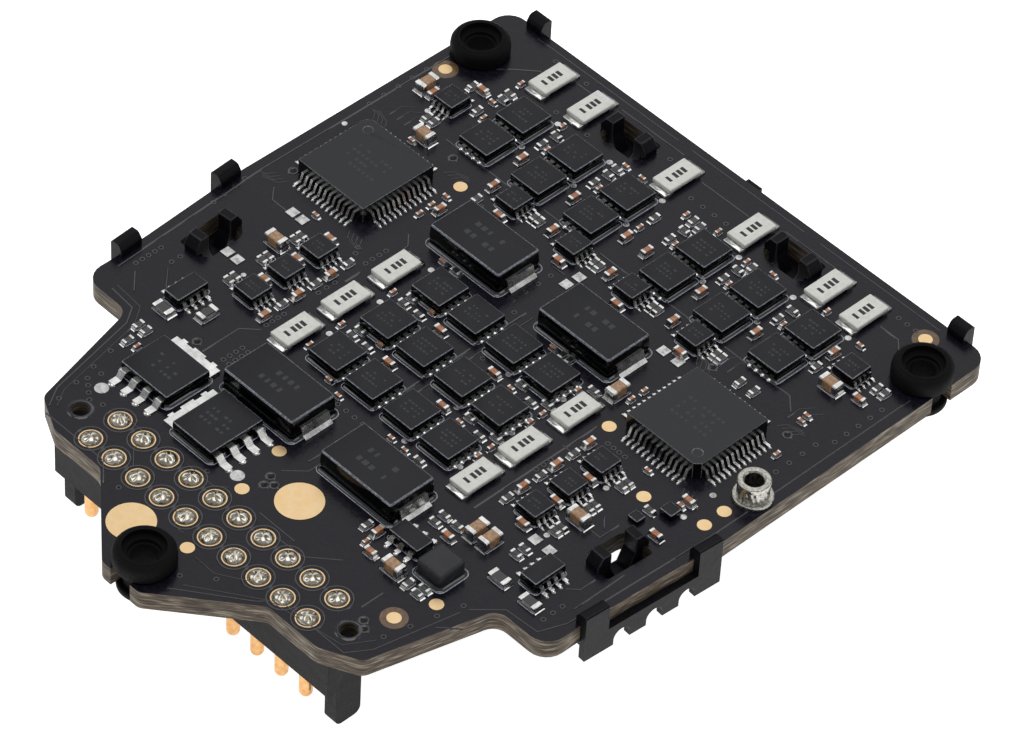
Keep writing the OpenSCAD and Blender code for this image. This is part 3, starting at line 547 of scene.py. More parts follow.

# %% [markdown]
# ## Traces and vias under the mask
#
# Copper under the mask stands up by a few hundredths of a millimetre, and only its sloping edges
# catch the light. A bump map could draw it, but thin raised ribbons keep their shape at every
# angle. A ribbon is a flat-topped profile carried along a path, and a via is a small turned ring
# whose middle is a dark disc, painted shade for the hole, made once and copied to every place in
# one array.

# %% Ribbons and turned rings
def ribbon(path, width, height=0.04):
    """Four points across (foot, top, top, foot) at each path point. The across direction is the
    normal of the mean of the two legs, lengthened by 1 / cos(half the turn)."""
    p = np.array(path, float)
    leg = np.diff(p, axis=0)
    leg /= np.linalg.norm(leg, axis=1, keepdims=True)
    before, after = np.vstack([leg[:1], leg]), np.vstack([leg, leg[-1:]])
    mean = before + after
    mean /= np.linalg.norm(mean, axis=1, keepdims=True)
    stretch = 1 / np.maximum((mean * after).sum(1), 0.4)
    across = np.stack([-mean[:, 1], mean[:, 0]], 1) * stretch[:, None]
    offset = np.array([0.5, 0.5 - 0.04 / width, -0.5 + 0.04 / width, -0.5]) * width
    xy = p[:, None] + across[:, None] * offset[None, :, None]
    z = np.broadcast_to(np.array([-0.004, height, height, -0.004]), xy.shape[:2])
    points = np.concatenate([xy + [0, FAR / MM], z[..., None] + TOP / MM], -1) * MM
    n = len(p)
    ends = np.array([[0, 1, 2, 3], [4 * n - 1, 4 * n - 2, 4 * n - 3, 4 * n - 4]])
    return points, [grid_quads(n, 4, False, True)[:, ::-1], ends[:, ::-1]]


def turned(centres, profile, around=16, cap=False):
    """Carries (radius, height) in mm round an upright axis at each centre (x, y in mm on the
    board, from its far edge). With cap the last ring is closed by a face, otherwise the profile
    closes on itself."""
    c = np.asarray(centres, float).reshape(-1, 2)
    r, z = np.array(profile, float).T
    angle = np.linspace(0, 2 * math.pi, around, endpoint=False)
    x = c[:, 0, None, None] + r[None, :, None] * np.cos(angle)
    y = c[:, 1, None, None] + r[None, :, None] * np.sin(angle) + FAR / MM
    z = np.broadcast_to(z[None, :, None] + TOP / MM, x.shape)
    points = np.stack([x, y, z], -1) * MM
    each = len(r) * around
    faces = [copies(grid_quads(len(r), around, not cap, True), len(c), each)]
    if cap:
        faces.append(copies(np.arange(each - around, each)[None], len(c), each))
        faces.append(copies(np.arange(around)[::-1][None], len(c), each))
    return points, faces


def ladder(x0, y0, x1, y1, count):
    """Evenly spaced places from one point to another."""
    return np.stack([np.linspace(x0, x1, count), np.linspace(y0, y1, count)], 1)


# %% [markdown]
# ## Where the traces run
#
# The traces are listed by width, each as the points it passes, in millimetres from the middle
# and from the far edge. Those along the rim are tied to the board's own half width.

# %% Lay out the traces
half_w = board_high.x / MM
trace_paths = {
    0.12: [
        [(-half_w + 3.2, -41.9), (-18.9, -42.1), (-17.8, -43.6), (-16.1, -51.6), (-15.2, -53.0)],
        [(3.4, -57.6), (8.3, -54.2), (14.6, -53.2), (15.8, -51.2)],
        [(12.9, -47.9), (12.9, -49.9)], [(-10.9, -50.1), (-9.5, -50.1)],
        [(-2.3, -53.2), (-1.1, -54.4), (-0.2, -54.4)], [(2.0, -55.3), (4.0, -55.3), (6.6, -53.7)],
        [(-4.8, -49.9), (-2.2, -49.9), (-1.4, -49.2)]],
    0.14: [
        [(-15.2, -54.0), (-9.1, -54.0), (-7.4, -55.4)],
        [(2.9, -58.6), (7.8, -54.9), (8.9, -53.6), (15.2, -53.6), (16.3, -51.9), (17.7, -45.2)],
        [(17.9, -44.6), (19.6, -42.7), (half_w - 2.4, -42.5), (half_w - 1.6, -40.4)],
        [(half_w - 1.6, -40.4), (half_w - 0.9, -27.2), (half_w - 0.9, -7.4)],
        [(-21.0, -0.7), (-6.0, -0.7)], [(-4.6, -0.7), (7.0, -0.7)], [(8.6, -0.7), (20.6, -0.7)],
        [(6.0, -1.7), (11.0, -1.7), (11.4, -2.1)], [(0.4, -21.8), (0.4, -36.6)],
        [(-10.3, -37.9), (-9.4, -38.8)], [(1.1, -38.6), (1.1, -44.0), (-0.2, -45.4)],
        [(10.9, -29.0), (12.0, -29.0)], [(8.9, -47.9), (6.9, -49.7), (4.3, -49.9)],
        [(-8.6, -50.2), (-8.6, -51.6), (-7.2, -52.9)], [(1.8, -49.2), (5.4, -49.2)],
        [(18.9, -46.1), (17.6, -47.4)], [(-20.6, -38.0), (-19.2, -39.4), (-18.8, -39.4)],
        [(21.6, -36.2), (21.6, -37.6), (20.9, -38.3)], [(22.6, -34.4), (22.6, -39.2)],
        [(18.0, -33.2), (19.0, -33.2), (19.0, -31.4)], [(17.8, -31.6), (18.6, -32.4)]],
    0.16: [
        [(-half_w + 0.9, -6.9), (-half_w + 0.9, -26.5), (-half_w + 1.7, -40.6)],
        [(-half_w + 3.2, -42.4), (-19.2, -42.6), (-18.3, -43.9), (-16.6, -51.8), (-15.6, -53.4)],
        [(-15.4, -2.0), (-13.9, -2.0)], [(-11.2, -1.5), (-4.6, -1.5)],
        [(-1.7, -2.6), (3.2, -2.6)], [(11.1, -3.1), (12.6, -3.1)],
        [(17.4, -3.6), (19.2, -3.6), (20.0, -4.4)], [(-17.4, -13.6), (-10.6, -13.6)],
        [(-7.2, -13.4), (-4.4, -13.4)], [(-1.2, -13.5), (1.8, -13.5)],
        [(4.9, -13.4), (8.2, -13.4)], [(11.4, -13.5), (18.0, -13.5), (19.2, -14.6)],
        [(-11.8, -22.6), (-10.9, -23.5), (-10.9, -24.2)], [(-2.6, -17.0), (-1.3, -17.0)],
        [(-11.5, -37.2), (-12.6, -38.3), (-12.6, -41.8)], [(-9.3, -38.4), (-9.3, -42.6)],
        [(0.4, -39.0), (0.4, -43.4)], [(-21.9, -26.6), (-21.0, -27.6), (-17.9, -27.6)],
        [(-21.9, -40.0), (-20.4, -41.4)]],
    0.18: [
        [(-20.6, -5.4), (-19.6, -4.4), (-18.2, -3.1)], [(11.2, -25.9), (11.2, -37.8)]],
    0.2: [
        [(-11.2, -27.9), (-11.2, -29.4)], [(-0.3, -21.8), (-0.3, -36.6)]],
}
traces = [(width, path) for width, paths in trace_paths.items() for path in paths]

# Fans of four short lines at the controllers' corners, and single stubs beside their leads.
fan_corners = [(-13.4, -16.1, 1, 1), (-23.2, -25.6, -1, -1), (-13.4, -25.6, 1, -1),
               (11.2, -16.2, -1, 1), (21.0, -16.2, 1, 1), (21.0, -25.6, 1, -1),
               (-22.8, -16.1, -1, 1)]
for x, y, sx, sy in fan_corners:
    for step in np.arange(4) * 0.42:
        traces.append((0.12, [(x - sx * (1.5 - step), y - sy * 0.1),
                              (x - sx * (1.1 - step), y + sy * 0.5),
                              (x + sx * (0.1 + step * 0.4), y + sy * (0.9 - step * 0.2))]))
for x in (-22.2, -21.4, -20.6, 12.6, 13.4, 19.4, 20.2):
    y = -15.2 if x > 0 else -14.9
    traces.append((0.11, [(x, y), (x, y + 1.3), (x + 0.7, -13.0)]))
ribbons = joined([ribbon(path, width) for width, path in traces])
print("traces:", len(traces))

# %% [markdown]
# ## Where the vias and rings lie
#
# Vias come in short straight rows, so a row is given by its two ends and a count. The larger
# rings are single. None may lie under a part or over an open slot, so each place is measured
# against every part's box and dropped if it is too near.

# %% Lay out the vias
# Rows of vias: first place, last place, how many.
via_rows = [
    (-11.6, -25.0, -11.6, -27.0, 4), (-11.6, -30.0, -11.6, -31.6, 3),
    (-11.6, -34.9, -11.6, -36.6, 4), (11.4, -30.6, 11.4, -32.0, 3), (-18.3, -1.5, -15.0, -1.5, 5),
    (-14.2, -5.4, -10.9, -5.4, 4), (-10.2, -2.6, -5.0, -2.6, 5), (6.3, -4.3, 10.9, -4.3, 5),
    (17.7, -2.0, 19.4, -2.0, 3), (-22.9, -5.9, -22.9, -7.0, 2), (-0.9, -22.4, -0.9, -26.6, 5),
    (1.0, -27.3, 1.0, -31.0, 4), (-2.4, -38.1, 0.2, -38.1, 4), (-11.0, -39.4, -11.0, -41.2, 4),
    (-10.4, -39.4, -10.4, -41.2, 4), (-15.6, -48.6, -13.2, -50.5, 5),
    (-15.9, -49.6, -14.2, -50.9, 4), (-9.2, -49.5, -7.6, -50.2, 4), (-4.2, -48.7, -2.9, -49.8, 3),
    (-22.5, -37.0, -22.5, -39.4, 5), (-20.9, -34.9, -20.9, -37.4, 4),
    (21.9, -39.6, 21.9, -41.4, 3), (-13.2, -26.3, -12.5, -27.4, 3), (12.9, -26.5, 14.6, -26.5, 4),
    (-24.0, -27.6, -23.6, -31.0, 4), (23.3, -9.6, 23.3, -14.4, 5), (22.6, -15.6, 22.6, -19.6, 4),
    (-24.0, -9.4, -24.0, -15.2, 5), (-1.0, -4.4, 2.6, -4.4, 4), (-8.2, -16.6, -10.5, -16.6, 3),
    (-1.9, -17.8, -1.9, -21.6, 4), (9.3, -19.2, 9.3, -20.8, 3), (6.4, -53.9, 2.6, -57.2, 3),
    (-16.9, -46.6, -15.7, -52.4, 4), (15.9, -50.6, 17.4, -44.6, 4), (-6.4, -54.9, -3.9, -57.2, 3)
]
via_places = np.concatenate([ladder(*row) for row in via_rows])
ring_places = np.array([
    [16.6, -37.9], [16.6, -38.7], [-13.6, -41.4], [-13.0, -42.0], [-0.3, -46.3], [0.5, -46.7],
    [0.0, -47.2], [-3.0, -46.2], [-11.4, -15.0], [-10.6, -15.9], [12.4, -15.6], [-15.6, -14.6],
    [13.9, -50.6], [14.5, -51.1], [-22.3, -17.6], [-22.3, -24.4], [21.9, -20.6], [21.9, -22.2],
    [-1.6, -9.0], [-14.7, -36.4], [14.3, -36.3], [-12.3, -43.2], [20.6, -16.4]])
large = ("circuit_board", "far_wire_comb", "left_wire_comb", "right_wire_comb", "pin_header_block")
crowd = np.concatenate([islands(n) for n in nodes if n not in large])
crowd = crowd[crowd[:, 1, 2] > TOP][:, :, :2] / MM - [0, FAR / MM]
slot_middle = np.array([[-8.5, -3.45], [8.5, -3.45], [-20.9, -33.65], [20.9, -33.65]])
slot_reach = np.array([[2.1, 1.4], [2.1, 1.4], [1.4, 2.1], [1.4, 2.1]])
crowd = np.concatenate([crowd, np.stack([slot_middle - slot_reach, slot_middle + slot_reach], 1)])


def clear_of_parts(places, margin):
    """Keeps the places whose distance to every part's box is more than margin."""
    here = places[:, None]
    gap = np.maximum(np.maximum(crowd[None, :, 0] - here, here - crowd[None, :, 1]), 0)
    return places[(np.linalg.norm(gap, axis=-1) > margin).all(1)]


via_places, ring_places = clear_of_parts(via_places, 0.3), clear_of_parts(ring_places, 0.45)
print(f"{len(via_places)} vias, {len(ring_places)} rings")
via = [(0.23, -0.004), (0.21, 0.03), (0.14, 0.03), (0.12, 0.006)]
via_points, via_faces = turned(via_places, via, 10, cap=True)
ring = [(0.44, -0.004), (0.38, 0.05), (0.28, 0.05), (0.22, 0.008)]
ring_points, ring_faces = turned(ring_places, ring, 16, cap=True)
pins = islands("header_pins").mean(1)[:, :2] / MM - [0, FAR / MM]
moats = turned(pins, [(1.24, -0.004), (1.19, 0.05), (1.11, 0.05), (1.06, -0.004)], 28)
pegs = np.array([[-13.9, pins[:, 1].mean()], [13.9, pins[:, 1].mean()]])
peg_rims = turned(pegs, [(1.0, -0.004), (0.95, 0.04), (0.74, 0.06), (0.7, -0.004)], 32)

trace_mask = finish("mask_over_copper", (30, 29, 34), (42, 41, 48), 0.12, 0.22, 3000, 0.3, coat=0.6,
                    coat_roughness=0.08)
hole_painted_shade = finish("via_hole_painted_shade", (3, 3, 3), (9, 8, 9), 0.3, 0.6, 6000, 0.3, specular=0.3)
make_piece("board_traces", *joined([ribbons, moats, peg_rims]), [trace_mask], slot="solder_mask")
points, faces = joined([(via_points, via_faces), (ring_points, ring_faces)])
# The closed inner end of each via and ring is a dark disc: painted shade standing in for the hole.
dark = np.concatenate([np.full(len(group), value) for group, value in
                       zip(via_faces + ring_faces, (0, 1, 0, 0, 1, 0))])
make_piece("board_vias", points, faces, [trace_mask, hole_painted_shade], dark, slot="solder_mask")

# %% [markdown]
# ## Bare rings round the corner dots
#
# The dots near the corners guide the machine that places the parts. The mask is left off in a
# ring round each, so the brown laminate shows there. A thin turned ring is laid round them.

# %% Bare rings round the corner dots
laminate = finish("bare_laminate", (84, 60, 36), (122, 92, 60), 0.3, 0.45, 3000, 0.3, coat=0.4)
spots = islands("gold_pads")
spot_middle = spots.mean(1)[:, :2] / MM - [0, FAR / MM]
spot_wide = (spots[:, 1, 0] - spots[:, 0, 0]) / MM
is_dot = np.abs(spot_wide - 1.05) < 0.05
edge_spots = spot_middle[is_dot & ((spot_middle[:, 1] > -9) | (spot_middle[:, 0] > 15))]
marks = edge_spots[(edge_spots[:, 0] < -20) | (edge_spots[:, 1] > -5) | (edge_spots[:, 1] < -48)]
bare = [(1.0, -0.004), (1.0, 0.008), (0.5, 0.008), (0.5, -0.004)]
make_piece("fiducial_rings", *turned(marks, bare, 32), [laminate], slot="solder_mask")

# %% [markdown]
# ## Moulded packages
#
# A chip's case comes out of a mould, so its sides lean, its edges are slightly round and its top
# is matte. The sides are glossy from the coating sprayed over the board, and their near-black
# colour, darker than the top, is painted shade. `rings` stacks rounded rectangles, so one profile
# of levels gives the leaning side, the rounded edge and the top, and every case of a kind comes
# out of one call. The band numbers it returns say which finish each face gets: top, side with
# painted shade, or edge with a paler painted highlight.

# %% Chip cases
CASE = [(0, 0, 0.05), (0.45, 0, 0), (1, -0.06, 0.03), (1, -0.02, 0.05), (1, 0, 0.09)]


def case_finish(bands, levels):
    """0 top, 1 side (painted shade), 2 rounded edge (paler, a painted highlight), from the band
    numbers.
    """
    table = np.ones(levels + 1, int)
    table[levels - 3:levels - 1] = 2
    table[levels - 1] = 0
    return table[bands]


def cases(name, source, profile=CASE, radius=0.1, steps=3, slot="chip_plastic"):
    boxes = islands(source)
    points, faces, bands = rings(boxes, profile, radius, steps)
    make_piece(name, points, faces, [package_top, package_side_painted_shade, package_edge_painted_highlight],
               case_finish(bands, len(profile)), slot=slot, stands_for=[source], sharp=50)
    return boxes


tops = {}
for source in ("motor_1_transistors", "motor_2_transistors", "motor_3_transistors",
               "motor_4_transistors", "gate_drivers", "current_amplifiers", "buck_regulator",
               "small_chips", "power_switch_a", "power_switch_b"):
    tops[source] = cases(source + "_cases", source)
BULK_CASE = [(0, 0, 0.1), (0.42, 0, 0), (0.46, 0, 0), (1, -0.14, 0.08), (1, -0.04, 0.12),
             (1, 0, 0.2)]
tops["bulk_capacitors"] = cases("bulk_capacitor_cases", "bulk_capacitors", BULK_CASE, 0.25, 4,
                                slot="cap_plastic")

# %% [markdown]
# ## Cases with something cut into them
#
# The controllers have a cut corner and a round dimple, and the combs and the header block are
# not boxes at all. For those the CAD shape is right and only its edges are too sharp. A copy of
# the CAD mesh is merged and its flat faces joined, and then a Bevel modifier rounds every edge
# sharper than 35 degrees. The bevel's own faces can take a second finish: on the black plastic
# it is a paler colour, a painted highlight along the edges.

# %% Softened copies of CAD shapes
def softened(node, name, width, finishes, segments=2):
    """A merged copy of a CAD node with rounded edges; bevel faces take the last finish."""
    mesh = nodes[node].data.copy()
    shape = bmesh.new()
    shape.from_mesh(mesh)
    bmesh.ops.remove_doubles(shape, verts=shape.verts, dist=2e-6)
    bmesh.ops.dissolve_limit(shape, angle_limit=0.02, verts=shape.verts, edges=shape.edges)
    shape.to_mesh(mesh)
    shape.free()
    mesh.name = name
    mesh.materials.clear()
    for material in finishes:
        mesh.materials.append(material)
    mesh.polygons.foreach_set("material_index", np.zeros(len(mesh.polygons), np.int32))
    mesh.shade_smooth()
    mesh.set_sharp_from_angle(angle=math.radians(35))
    piece = bpy.data.objects.new(name, mesh)
    bpy.context.scene.collection.objects.link(piece)
    bevel = piece.modifiers.new("rounded_edges", "BEVEL")
    bevel.width, bevel.segments, bevel.limit_method = width * MM, segments, "ANGLE"
    bevel.angle_limit = math.radians(35)
    bevel.harden_normals = True
    bevel.material = len(finishes) - 1
    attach(piece, home[node])
    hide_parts(node)
    print(f"softened {name}: {len(mesh.polygons)} faces before its bevel")
    return piece


# The controller cases' sides get a near-black colour, darker than the top: painted shade.
controller_case_painted_side_shade, _ = sorted_finish(
    "controller_case_painted_side_shade", 0.7, ((24, 25, 28), (36, 37, 41), 0.42, 0.6, 9000, 0.35),
    tone_of(6, 6, 7), 0.2)
comb_finishes = [comb_plastic, comb_edge_painted_highlight]
for side in ("left", "right"):
    softened(f"controller_{side}", f"controller_{side}_case", 0.06, [controller_case_painted_side_shade, package_edge_painted_highlight])
    softened(f"{side}_wire_comb", f"{side}_wire_comb_moulding", 0.1, comb_finishes)
softened("far_wire_comb", "far_wire_comb_moulding", 0.1, comb_finishes)
for node in nodes:
    if "prong" in node:
        softened(node, node + "_moulding", 0.08, comb_finishes)
softened("pin_header_block", "pin_header_moulding", 0.12, [header_plastic, header_plastic])
core = [(0, 0, 0.12), (0, 0.12, 0), (1, -0.28, 0), (1, -0.1, 0.08), (1, 0, 0.26), (1, -0.03, 0.42)]
make_piece("buck_inductor_core", *rings(islands("buck_inductor"), core, 0.35, 5)[:2], [ferrite],
           slot="inductor_ferrite", stands_for=["buck_inductor"], sharp=50)

# %% [markdown]
# ## Chip capacitors and resistors
#
# Hundreds of small parts share one build: a ceramic bar with a metal cap dipped over each end.
# The bar is drawn once in a box from -1 to 1 as eight-sided outlines at eight stations, the
# middle ones a little smaller than the end caps. Scaling and turning it to every part's box is
# one array product. Resistors use the same bar, with dark glass on the face that looks up.

# %% Bars with end caps
def bar_template():
    """Station s has outline (y, z) * scale(s) at x(s); side k runs from corner k to k + 1, and
    side 2 looks up. Returns points, faces, and for each face its (station, side)."""
    cut_y, cut_z = 0.16, 0.2
    ring = np.array([(1, -1 + cut_z), (1, 1 - cut_z), (1 - cut_y, 1), (-1 + cut_y, 1),
                     (-1, 1 - cut_z), (-1, -1 + cut_z), (-1 + cut_y, -1), (1 - cut_y, -1)])
    station = np.array([(-1, 0.86), (-0.95, 1), (-0.56, 1), (-0.56, 0.92), (0.56, 0.92), (0.56, 1),
                        (0.95, 1), (1, 0.86)])
    points = np.concatenate([np.broadcast_to(station[:, None, :1], (8, 8, 1)),
                             ring[None] * station[:, None, 1:]], -1)
    quads = grid_quads(8, 8, False, True)
    caps = np.array([[56, 57, 58, 63], [58, 59, 62, 63], [59, 60, 61, 62],
                     [7, 2, 1, 0], [7, 6, 3, 2], [6, 5, 4, 3]])
    where = np.stack([np.repeat(np.arange(7), 8), np.tile(np.arange(8), 7)], 1)
    return points.reshape(-1, 3), np.concatenate([quads, caps]), where


def bars(name, source, finishes, slot, glass_top=False):
    """Each box's long level side becomes the bar's x; a turned part swaps x and y."""
    boxes = islands(source)
    shape, quads, where = bar_template()
    half, middle = (boxes[:, 1] - boxes[:, 0]) / 2, boxes.mean(1)
    along_y = half[:, 1] > half[:, 0]
    turned_shape = np.stack([-shape[:, 1], shape[:, 0], shape[:, 2]], 1)
    local = np.where(along_y[:, None, None], turned_shape[None], shape[None])
    points = middle[:, None] + local * half[:, None]
    kind = np.full(len(quads), 1)
    kind[:56][where[:, 0] == 3] = 0
    if glass_top:
        kind[:56][(where[:, 0] == 3) & ~np.isin(where[:, 1], (1, 2, 3))] = 2
    make_piece(name, points, [copies(quads, len(boxes), len(shape))], finishes,
               np.tile(kind, len(boxes)), slot=slot, stands_for=[source], sharp=30)
    return boxes


brown, tan = [ceramic_brown, bright_tin], [ceramic_tan, bright_tin]
glass = [resistor_glass, bright_tin, ceramic_white]
small_boxes = np.concatenate([
    bars("small_capacitor_bars", "small_ceramic_capacitors", brown, "ceramic_brown"),
    bars("tiny_capacitor_bars", "tiny_ceramic_capacitors", brown, "ceramic_brown"),
    bars("large_capacitor_bars", "large_ceramic_capacitors", tan, "ceramic_tan"),
    bars("chip_resistor_bars", "chip_resistors", glass, "resistor_body", glass_top=True),
    bars("filter_resistor_bars", "filter_resistors", glass, "resistor_body", glass_top=True)])
print("bars placed:", len(small_boxes))

# %% [markdown]
# ## Solder and coating
#
# Solder wets the end of each part and runs out on its pad in a hollow curve. The clear coating
# does the same all round a case, and its hollow edge draws a thin bright line, which is painted
# on its rim here. The solder is a small wedge with a hollow back at each end of a bar; the
# coating is a ring of outlines that spreads outwards as it goes down.

# %% Solder wedges
def wedges(boxes, reach=0.16):
    """A hollow profile of (out, up), in shares of the reach and of the part's height, carried
    across the width at both ends of every bar; taper widens the wedge at its foot."""
    profile = np.array([(-0.2, 0), (1, 0), (0.55, 0.13), (0.22, 0.42), (-0.2, 0.8)])
    half, middle = (boxes[:, 1] - boxes[:, 0]) / 2, boxes.mean(1)
    along_y = half[:, 1] > half[:, 0]
    long = np.where(along_y, half[:, 1], half[:, 0])
    wide = np.where(along_y, half[:, 0], half[:, 1])
    high = np.minimum(2 * half[:, 2], 0.45 * MM)
    taper = np.array([0.96, 1.12, 1.0, 0.94, 0.9])
    parts = []
    for end in (-1, 1):
        out = end * (long[:, None] + profile[:, 0] * reach * MM)
        up = np.broadcast_to(TOP + profile[:, 1] * high[:, None], out.shape)
        across = wide[:, None] * taper * end
        parts.append(np.stack([np.stack([out, side * across, up], -1) for side in (-1, 1)], 2))
    local = np.concatenate(parts)
    turn = np.tile(along_y, 2)[:, None, None]
    x = np.where(turn, -local[..., 1], local[..., 0]) + np.tile(middle[:, 0], 2)[:, None, None]
    y = np.where(turn, local[..., 0], local[..., 1]) + np.tile(middle[:, 1], 2)[:, None, None]
    points = np.stack([x, y, local[..., 2]], -1)
    count = len(points)
    sides = copies(grid_quads(5, 2, True, False), count, 10)
    ends = copies(np.array([[8, 6, 4, 2, 0], [1, 3, 5, 7, 9]]), count, 10)
    return points, [sides[:, ::-1], ends[:, ::-1]]


make_piece("solder_wedges", *wedges(small_boxes), [solder_metal], slot="solder", sharp=60)

# %% [markdown]
# ## Solder at the feet of the leads
#
# Each lead's foot sits in a low bead. Half an ellipsoid with four rings of eight points is
# enough for it, because there are hundreds. The bead goes at the lead's outer tip, which is the
# end that lies farther from the nearest case.

# %% Beads at the lead feet
def blobs(centres, reach, name):
    """Half an ellipsoid on each centre: x = a cos(u) cos(v), y = b cos(u) sin(v), z = c sin(u)."""
    u = np.radians([0, 30, 60, 84])[:, None]
    v = np.linspace(0, 2 * math.pi, 8, endpoint=False)[None]
    unit = np.stack([np.cos(u) * np.cos(v), np.cos(u) * np.sin(v), np.sin(u) + 0 * v], -1)
    points = centres[:, None] + unit.reshape(-1, 3)[None] * reach[:, None]
    count = len(centres)
    faces = [copies(grid_quads(4, 8, False, True), count, 32),
             copies(np.arange(24, 32)[None], count, 32),
             copies(np.arange(8)[::-1][None], count, 32)]
    make_piece(name, points, faces, [solder_metal], slot="solder", sharp=80)


def feet(lead_node, body_nodes):
    """The outer tip of each lead: its box's end that lies farther from the nearest case."""
    leads, body = islands(lead_node), np.concatenate([islands(n) for n in body_nodes]).mean(1)
    size = leads[:, 1] - leads[:, 0]
    leads = leads[np.maximum(size[:, 0], size[:, 1]) < 1.6 * MM]
    size, middle = leads[:, 1] - leads[:, 0], leads.mean(1)
    nearest = body[np.argmin(((middle[:, None, :2] - body[None, :, :2]) ** 2).sum(-1), 1)]
    away = middle - nearest
    along_y = size[:, 1] > size[:, 0]
    step = np.where(along_y[:, None], [0, 1, 0], [1, 0, 0]) * np.sign(away)
    centres = middle + step * (size / 2 - 0.06 * MM)
    centres[:, 2] = TOP
    wide = np.where(along_y, size[:, 0], size[:, 1]) * 0.56
    long, high = np.full(len(wide), 0.3 * MM), np.full(len(wide), 0.13 * MM)
    reach = np.stack([np.where(along_y, wide, long), np.where(along_y, long, wide), high], 1)
    return centres, reach


fet_nodes = [f"motor_{k}_transistors" for k in (1, 2, 3, 4)]
leads_of = {"controller_left_leads": ["controller_left"],
            "controller_right_leads": ["controller_right"],
            "gate_driver_leads": ["gate_drivers"],
            "current_amplifier_leads": ["current_amplifiers"],
            "buck_regulator_leads": ["buck_regulator"], "transistor_terminals": fet_nodes,
            "power_switch_leads": ["power_switch_a", "power_switch_b"]}
found = [feet(leads, packages) for leads, packages in leads_of.items()]
blobs(np.concatenate([c for c, _ in found]), np.concatenate([r for _, r in found]), "solder_feet")

# %% [markdown]
# ## The clear coating
#
# A sprayed coating gathers in the corner between a case and the board. Its section is hollow and
# rises up the case, and its outer rim catches the light; one band of faces has a paler colour
# painted on it as that highlight.

# %% Coating round the cases
def coating_round(boxes, out, up, radius, steps):
    """A closed ring: down the outside, hollow up to the case. share is 0, so every height is a
    lift above the board, and the reach is the negative inset."""
    boxes = boxes.copy()
    boxes[:, 0, 2], boxes[:, 1, 2] = TOP, TOP + up * MM
    profile = [(0, -0.01, -out), (0, 0.03, 0.02 - out), (0, 0.035, 0.07 - out),
               (0, 0.3 * up, -0.3 * out), (0, up, 0.02), (0, -0.01, 0.05)]
    points, faces, bands = rings(boxes, profile, radius, steps, closed_ring=True)
    # Band 1, the outer rim, takes the paler finish, the painted highlight.
    return points, faces, (bands == 1).astype(int)


fets = np.concatenate([tops[node] for node in fet_nodes])
switches = np.concatenate([tops["power_switch_a"], tops["power_switch_b"]])
wide_cases = np.concatenate([tops["bulk_capacitors"], switches, islands("buck_inductor")])
small_cases = np.concatenate([tops[node] for node in ("gate_drivers", "current_amplifiers",
                                                      "buck_regulator")])
skirts = [coating_round(fets, 0.26, 0.16, 0.12, 4), coating_round(wide_cases, 0.3, 0.24, 0.25, 5),
          coating_round(small_cases, 0.16, 0.12, 0.12, 3),
          coating_round(small_boxes, 0.12, 0.1, 0.06, 2)]
make_piece("coating_skirts", *joined([skirt[:2] for skirt in skirts]), [coating, coating_rim_painted_highlight],
           np.concatenate([skirt[2] for skirt in skirts]), sharp=80)

# %% [markdown]
# ## Sense resistors
#
# Twelve flat resistors measure the motor currents. Each is a thick white-glazed bar on two
# stepped tin terminals. The real ones carry a printed value; here a row of plain dark blocks
# stands in its place.

# %% Sense resistors
sense = islands("sense_resistors")
glazed = [(0, 0, 0.06), (0.15, 0, 0), (1, -0.08, 0), (1, -0.02, 0.04), (1, 0, 0.1)]
make_piece("sense_resistor_bodies", *rings(sense, glazed, 0.1, 3)[:2], [sense_glaze],
           slot="sense_ceramic", stands_for=["sense_resistors"], sharp=50)
plated = rings(islands("sense_terminals"), [(0, 0, 0), (1, -0.05, 0), (1, 0, 0.05)], 0.06, 2)
make_piece("sense_resistor_terminals", *plated[:2], [bright_tin], slot="tin",
           stands_for=["sense_terminals"], sharp=50)


def plates(centres, sizes, thick=0.008):
    """Thin plates lying on tops: low and high corners from centres (x, y, z) and sizes (x, y)."""
    low = centres - np.concatenate([sizes / 2, np.full((len(sizes), 1), 0.002 * MM)], 1)
    high = centres + np.concatenate([sizes / 2, np.full((len(sizes), 1), thick * MM)], 1)
    return rings(np.stack([low, high], 1), [(0, 0, 0), (1, 0, 0)], 0.0, 1)[:2]


offsets = np.array([[0, -0.86], [0, -0.2], [0, 0.24], [0, 0.68]]) * MM
block = np.array([[0.62, 0.26], [0.62, 0.3], [0.62, 0.3], [0.62, 0.3]]) * MM
middle = sense.mean(1)
middle[:, 2] = sense[:, 1, 2]
centres = middle[:, None] + np.concatenate([offsets, np.zeros((4, 1))], 1)[None]
marks = plates(centres.reshape(-1, 3), np.tile(block, (len(sense), 1)))
make_piece("sense_resistor_blocks", *marks, [sense_mark], slot="sense_ceramic")

# %% [markdown]
# ## Faint blocks on the chips
#
# A chip's top carries a laser mark a shade paler than the plastic. Rows of plain short blocks
# give that look without spelling anything; a seeded random draw leaves some out and varies the
# widths.

# %% Faint blocks on the chip tops
def code_blocks(boxes, rows, columns, cell, seed):
    """A rows x columns field of short blocks in the middle of each top, some left out."""
    rng = np.random.default_rng(seed)
    count = len(boxes)
    j, i = np.meshgrid(np.arange(columns) - (columns - 1) / 2, np.arange(rows) - (rows - 1) / 2)
    at = np.stack([j.ravel() * cell[0], i.ravel() * cell[1]], 1) * MM
    shown = rng.random((count, rows * columns)) < 0.72
    size = np.stack([rng.uniform(0.35, 0.8, (count, rows * columns)) * cell[0],
                     np.full((count, rows * columns), 0.42 * cell[1])], -1) * MM
    middle = boxes.mean(1)
    middle[:, 2] = boxes[:, 1, 2]
    centres = middle[:, None] + np.concatenate([at, np.zeros((len(at), 1))], 1)[None]
    return plates(centres[shown], size[shown], 0.005)


